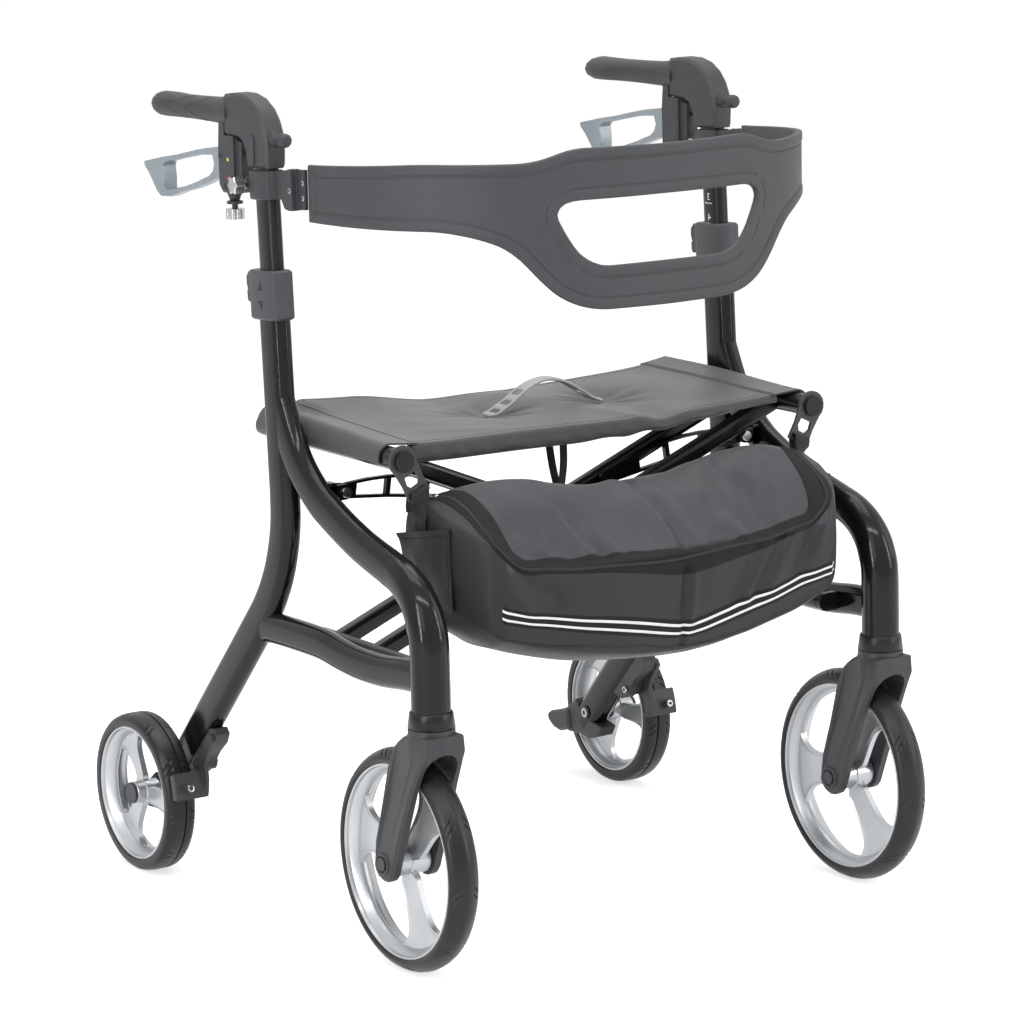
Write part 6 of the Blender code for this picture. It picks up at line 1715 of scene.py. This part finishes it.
slider = plate(in_mm([(-5, -4), (3, -4), (6, -2), (6, 2), (3, 4), (-5, 4)]), on_zip, -1.4 * mm, 1.2 * mm)
tongue = mirrored(in_mm([(-4, -1.4), (-16, -2.6), (-26, -3.4), (-28, -2)]))
pull = joined(slider, plate(tongue, on_zip, 1.5 * mm, 2.7 * mm))
bevelled(on_bag(piece_from(pull, "zip_pull", "bright_metal", body_of("bag"))), 0.4 * mm)
print("zip pull")

# %% [markdown]
# ## Small hardware
#
# A socket screw shows as a bright ring round a dark hexagon. Its head is a turned profile, and the dark
# hexagon is a short black prism set just below the head's face: painted shade in the socket. The same maker
# places all of them.
# %% Screws


def socket_screw(name, body, centre, axis, radius, stands, look="bright_metal"):
    """A round head with a hexagon socket whose shade is painted by a dark prism, centred on a face that looks
    along the axis.
    """
    head = [(radius * 0.52, -0.2 * mm), (radius * 0.56, stands), (radius * 0.86, stands),
            (radius, stands * 0.7), (radius, -0.6 * mm), (radius * 0.52, -0.6 * mm)]
    piece_from(turned(head, centre, axis, 32, closed=True), name + "_head", look, body, sharp=50)
    # Painted shade: the socket is a dark prism, not a recess.
    hexagon = [(0, -0.5 * mm), (radius * 0.6, -0.5 * mm), (radius * 0.6, stands * 0.35), (0, stands * 0.35)]
    piece_from(turned(hexagon, centre, axis, 6), name + "_socket", "cable_black", body, sharp=30)


HOUSING_FACE_X = FRAME_X + 13 * mm
FORK_FACE = 33 * mm                      # from the wheel's middle plane
FORK_BOSS = in_mm([(9.4, -0.5), (9.6, 1.2), (10.8, 2.0), (12.8, 1.6), (13.6, -0.5)])
HUB_CAP = in_mm([(0, 15.6), (7.2, 15.6), (8.6, 16.4), (10.4, 16.6), (11.6, 15.8), (11.6, 13)])
# Places in millimetres; a bracket's screws are measured from the side frame's middle plane
BRACKET_SCREWS = {"inner": (4.0, -46.7, 851.5), "upper": (-3.0, -64.0, 861.0), "lower": (-3.0, -63.8, 844.0)}
for side_name, side in SIDES:
    slide = f"{side_name}_slide"
    for label, (u, y, z) in BRACKET_SCREWS.items():
        socket_screw(f"{side_name}_bracket_{label}_screw", slide, (side * (FRAME_X + u * mm), y * mm, z * mm),
                     (side, 0, 0), 3.2 * mm, 1.2 * mm)
    for label, y, z in (("pivot", 94, 880), ("low", 84, 846)):
        socket_screw(f"{side_name}_housing_{label}_screw", slide, (side * HOUSING_FACE_X, y * mm, z * mm),
                     (side, 0, 0), 3.6 * mm, 0.9 * mm, "moulding_dark")
    for end in (-1, 1):
        ring = turned(FORK_BOSS, (side * FRAME_X + end * FORK_FACE, FRONT_AXLE.y, FRONT_AXLE.z),
                      (end, 0, 0), 48, closed=True)
        piece_from(ring, f"{side_name}_fork_boss_{'in' if end * side < 0 else 'out'}", "moulding_dark",
                   f"{side_name}_fork", sharp=50)
    hub_cap = turned(HUB_CAP, (side * REAR_X, REAR_AXLE.y, REAR_AXLE.z), (side, 0, 0), 48)
    piece_from(hub_cap, f"{side_name}_hub_cap", "moulding_dark", f"{side_name}_rear_wheel", sharp=50)
print("screws, fork bosses and hub caps")

# %% [markdown]
# A yellow and a red dot on the brake's housing show which way the lever locks, and white numbers on the
# post's inner face show the height. The numbers are text made into thin mesh.
# %% Dots and numbers
DOTS = {"yellow": ((0.85, 0.62, 0.05), 877 * mm), "red": ((0.75, 0.06, 0.05), 855 * mm)}
DOT = in_mm([(0, 0.5), (1.5, 0.5), (2.1, 0.2), (2.2, -0.4), (0, -0.4)])
for colour, (value, z) in DOTS.items():
    finish(colour + "_dot", value, tuple(0.85 * v for v in value), (0.35, 0.45), grains=2000, depth=0.01 * mm,
           patches=200, dusty=0.0)
    for side_name, side in SIDES:
        dot = turned(DOT, (side * HOUSING_FACE_X, 76.5 * mm, z), (side, 0, 0), 32)
        piece_from(dot, f"{side_name}_{colour}_dot", colour + "_dot", f"{side_name}_slide", sharp=60)

NUMBERS = (("3", 789 * mm), ("4", 764.5 * mm))
NUMBER_HIGH, LINE_DROP = 9 * mm, 7.4 * mm
for side_name, side in SIDES:
    marks = bmesh.new()
    face_x = side * (FRAME_X - 10 * mm)
    for text, z in NUMBERS:
        curve = bpy.data.curves.new("number", "FONT")
        curve.body, curve.size, curve.extrude = text, NUMBER_HIGH * 1.35, 0.12 * mm
        curve.align_x, curve.align_y = "CENTER", "CENTER"
        carrier = bpy.data.objects.new("number", curve)
        bpy.context.collection.objects.link(carrier)
        bpy.context.view_layer.update()
        flat = bpy.data.meshes.new_from_object(carrier.evaluated_get(bpy.context.evaluated_depsgraph_get()))
        bpy.data.objects.remove(carrier)
        bpy.data.curves.remove(curve)
        y = upright_y(z)
        flat.transform(Matrix(((0, 0, -side, face_x), (side, 0, 0, y), (0, 1, 0, z), (0, 0, 0, 1))))
        marks.from_mesh(flat)
        bpy.data.meshes.remove(flat)

        def line_place(a, b, h, y=y, z=z):
            return face_x - side * h, y + a, z - LINE_DROP + b

        plate(in_mm([(-7, -0.5), (7, -0.5), (7, 0.5), (-7, 0.5)]), line_place, -0.1 * mm, 0.15 * mm, marks)
    bmesh.ops.recalc_face_normals(marks, faces=marks.faces)
    piece_from(marks, f"{side_name}_post_numbers", "reflective_white_band", f"{side_name}_slide", sharp=30)
print(len(NUMBERS), "numbers on each post")

# %% [markdown]
# Bright screw heads sit on the axle's inner end, on the brake's bracket and on the shoe's boss. The
# arrows of the height clamp are dark at the floor of their recesses. The cable adjuster has a dark
# ferrule with its lock nut, and a bright barrel with flutes for the fingers. A long rounded lug stands
# on the side of each handle arch, above the back band's collar. All of them are turned or cut from an
# outline by the makers that the clevises and screws have used.
# %% Brake screws, clamp arrows and adjuster
AXLE_SCREW_X = 294.3 * mm
BRAKE_PIN = (296.7 * mm, 199 * mm, 143 * mm)
SHOE_BOSS = (REAR_X, 171 * mm, 123.1 * mm)
ARROW_FLOOR = 15.8 * mm
ARROWS = ((-14.3, -24.7), (-48.3, -37.7))      # tip and base of each, along the upright
ADJUSTER_TOP = (FRAME_X, 86 * mm, 837.7 * mm)
BARREL_ENDS = (-30.15 * mm, -18.45 * mm)
LUG_Y, LUG_Z, LUG_RADIUS, LUG_STRAIGHT = 19 * mm, 892.5 * mm, 6.5 * mm, 11.5 * mm
LUG_ENDS = (13 * mm, 15.8 * mm)
FERRULE = [(8.9, -0.2), (5.5, -8.9), (9.4, -9.8), (9.4, -12.7), (3.5, -13.1), (3.5, -18.5), (2.4, -18.5),
           (2.4, -12.0), (8.0, -12.0), (8.0, -10.6), (3.8, -9.4), (7.6, -0.2)]
FLUTES = 14
for side_name, side in SIDES:
    frame_body, adjuster_body = f"{side_name}_frame", f"{side_name}_cable_adjuster"
    socket_screw(f"{side_name}_axle_screw", frame_body, (side * AXLE_SCREW_X, REAR_AXLE.y, REAR_AXLE.z),
                 (-side, 0, 0), 6.0 * mm, 1.4 * mm)
    socket_screw(f"{side_name}_brake_pin", frame_body, (side * BRAKE_PIN[0], *BRAKE_PIN[1:]),
                 (-side, 0, 0), 4.2 * mm, 1.2 * mm)
    socket_screw(f"{side_name}_shoe_screw", f"{side_name}_brake_shoe", (side * SHOE_BOSS[0], *SHOE_BOSS[1:]),
                 (0, -9, 3), 4.4 * mm, 1.2 * mm)

    def clamp_place(v, w, u, side=side):
        return (side * (FRAME_X + u), LEAN_Y + v * math.cos(LEAN) + w * math.sin(LEAN),
                LEAN_Z - v * math.sin(LEAN) + w * math.cos(LEAN))

    arrows = bmesh.new()
    for tip, base in ARROWS:
        outline = in_mm([(0, tip), (4.7, base), (-4.7, base)])
        plate(outline, clamp_place, ARROW_FLOOR - 0.4 * mm, ARROW_FLOOR + 0.15 * mm, arrows)
    piece_from(arrows, f"{side_name}_clamp_arrows", "cable_black", frame_body, sharp=30)

    top = Vector((side * ADJUSTER_TOP[0], *ADJUSTER_TOP[1:]))
    ferrule = turned(in_mm(FERRULE), top, (0, 0, 1), 32, closed=True)
    piece_from(ferrule, f"{side_name}_adjuster_ferrule", "cable_black", adjuster_body)

    def barrel_place(a, b, h, top=top):
        return top.x + a, top.y + b, top.z + h

    rim = []
    for i in range(FLUTES * 4):
        reach = (10.9 if i % 4 < 2 else 10.2) * mm
        angle = math.tau * i / (FLUTES * 4)
        rim.append((reach * math.cos(angle), reach * math.sin(angle)))
    barrel = plate(rim, barrel_place, *BARREL_ENDS)
    piece_from(barrel, f"{side_name}_adjuster_barrel", "bright_metal", adjuster_body, sharp=30)

    def lug_place(a, b, u, side=side):
        return side * (FRAME_X + u), LUG_Y + a, LUG_Z + b

    capsule = [*curve_of((0, LUG_STRAIGHT), LUG_RADIUS, 0, 180, 12),
               *curve_of((0, -LUG_STRAIGHT), LUG_RADIUS, 180, 360, 12)]
    lug = piece_from(plate(capsule, lug_place, *LUG_ENDS), f"{side_name}_arch_lug", "moulding_dark",
                     f"{side_name}_slide")
    bevelled(lug, 0.8 * mm)
print("screws, arrows, adjusters and lugs")

# %% [markdown]
# The soft grips carry long leaf-shaped grooves where the fingers and the palm close. The shade in each groove
# is painted: a narrow dark band laid on the grip's own skin. Its points are found by looking from outside
# straight at the grip's middle line, so the bands follow its bulge and its palm wing.
# %% Painted shade in the grips' grooves
GROOVE_SHADE_WIDTH, GROOVE_SHADE_THICK = 2.0 * mm, 0.8 * mm
GRIP_Z = 930 * mm
OUTSIDE = 60 * mm                        # farther from the grip's middle line than its skin
# From y to y in millimetres, and from angle to angle in degrees round the grip, up from the outer side
GROOVE_SHADE_LINES = ((226, 178, -12, -62), (182, 132, -8, -60), (214, 166, 16, 74), (172, 122, 12, 68))
for side_name, side in SIDES:
    skin = bpy.data.objects[f"{side_name}_hand_grip_dressed"].data
    tree = BVHTree.FromPolygons([v.co for v in skin.vertices], [p.vertices for p in skin.polygons])
    for number, (far, near, first, last) in enumerate(GROOVE_SHADE_LINES):
        places, normals = [], []
        for t in evenly(0.0, 1.0, 24):
            angle = math.radians(first + (last - first) * t ** 1.6)
            away = Vector((side * math.cos(angle), 0, math.sin(angle)))
            middle = Vector((side * FRAME_X, (far + (near - far) * t) * mm, GRIP_Z))
            place, normal, _, _ = tree.ray_cast(middle + away * OUTSIDE, -away)
            if place is not None:
                places.append(place)
                normals.append(normal)
        eased = [(before + here * 2 + after) / 4
                 for before, here, after in zip(places, places[1:], places[2:])]
        line = [places[0], *eased, places[-1]]
        acrosses = [normal.cross(ahead_at(line, i)).normalized() for i, normal in enumerate(normals)]
        # A dark band standing on the skin: painted shade of the groove.
        ribbon(line, acrosses, GROOVE_SHADE_WIDTH, GROOVE_SHADE_THICK, f"{side_name}_grip_groove_shade_{number}",
               "cable_black", f"{side_name}_slide")
print(len(GROOVE_SHADE_LINES), "grooves on each grip")
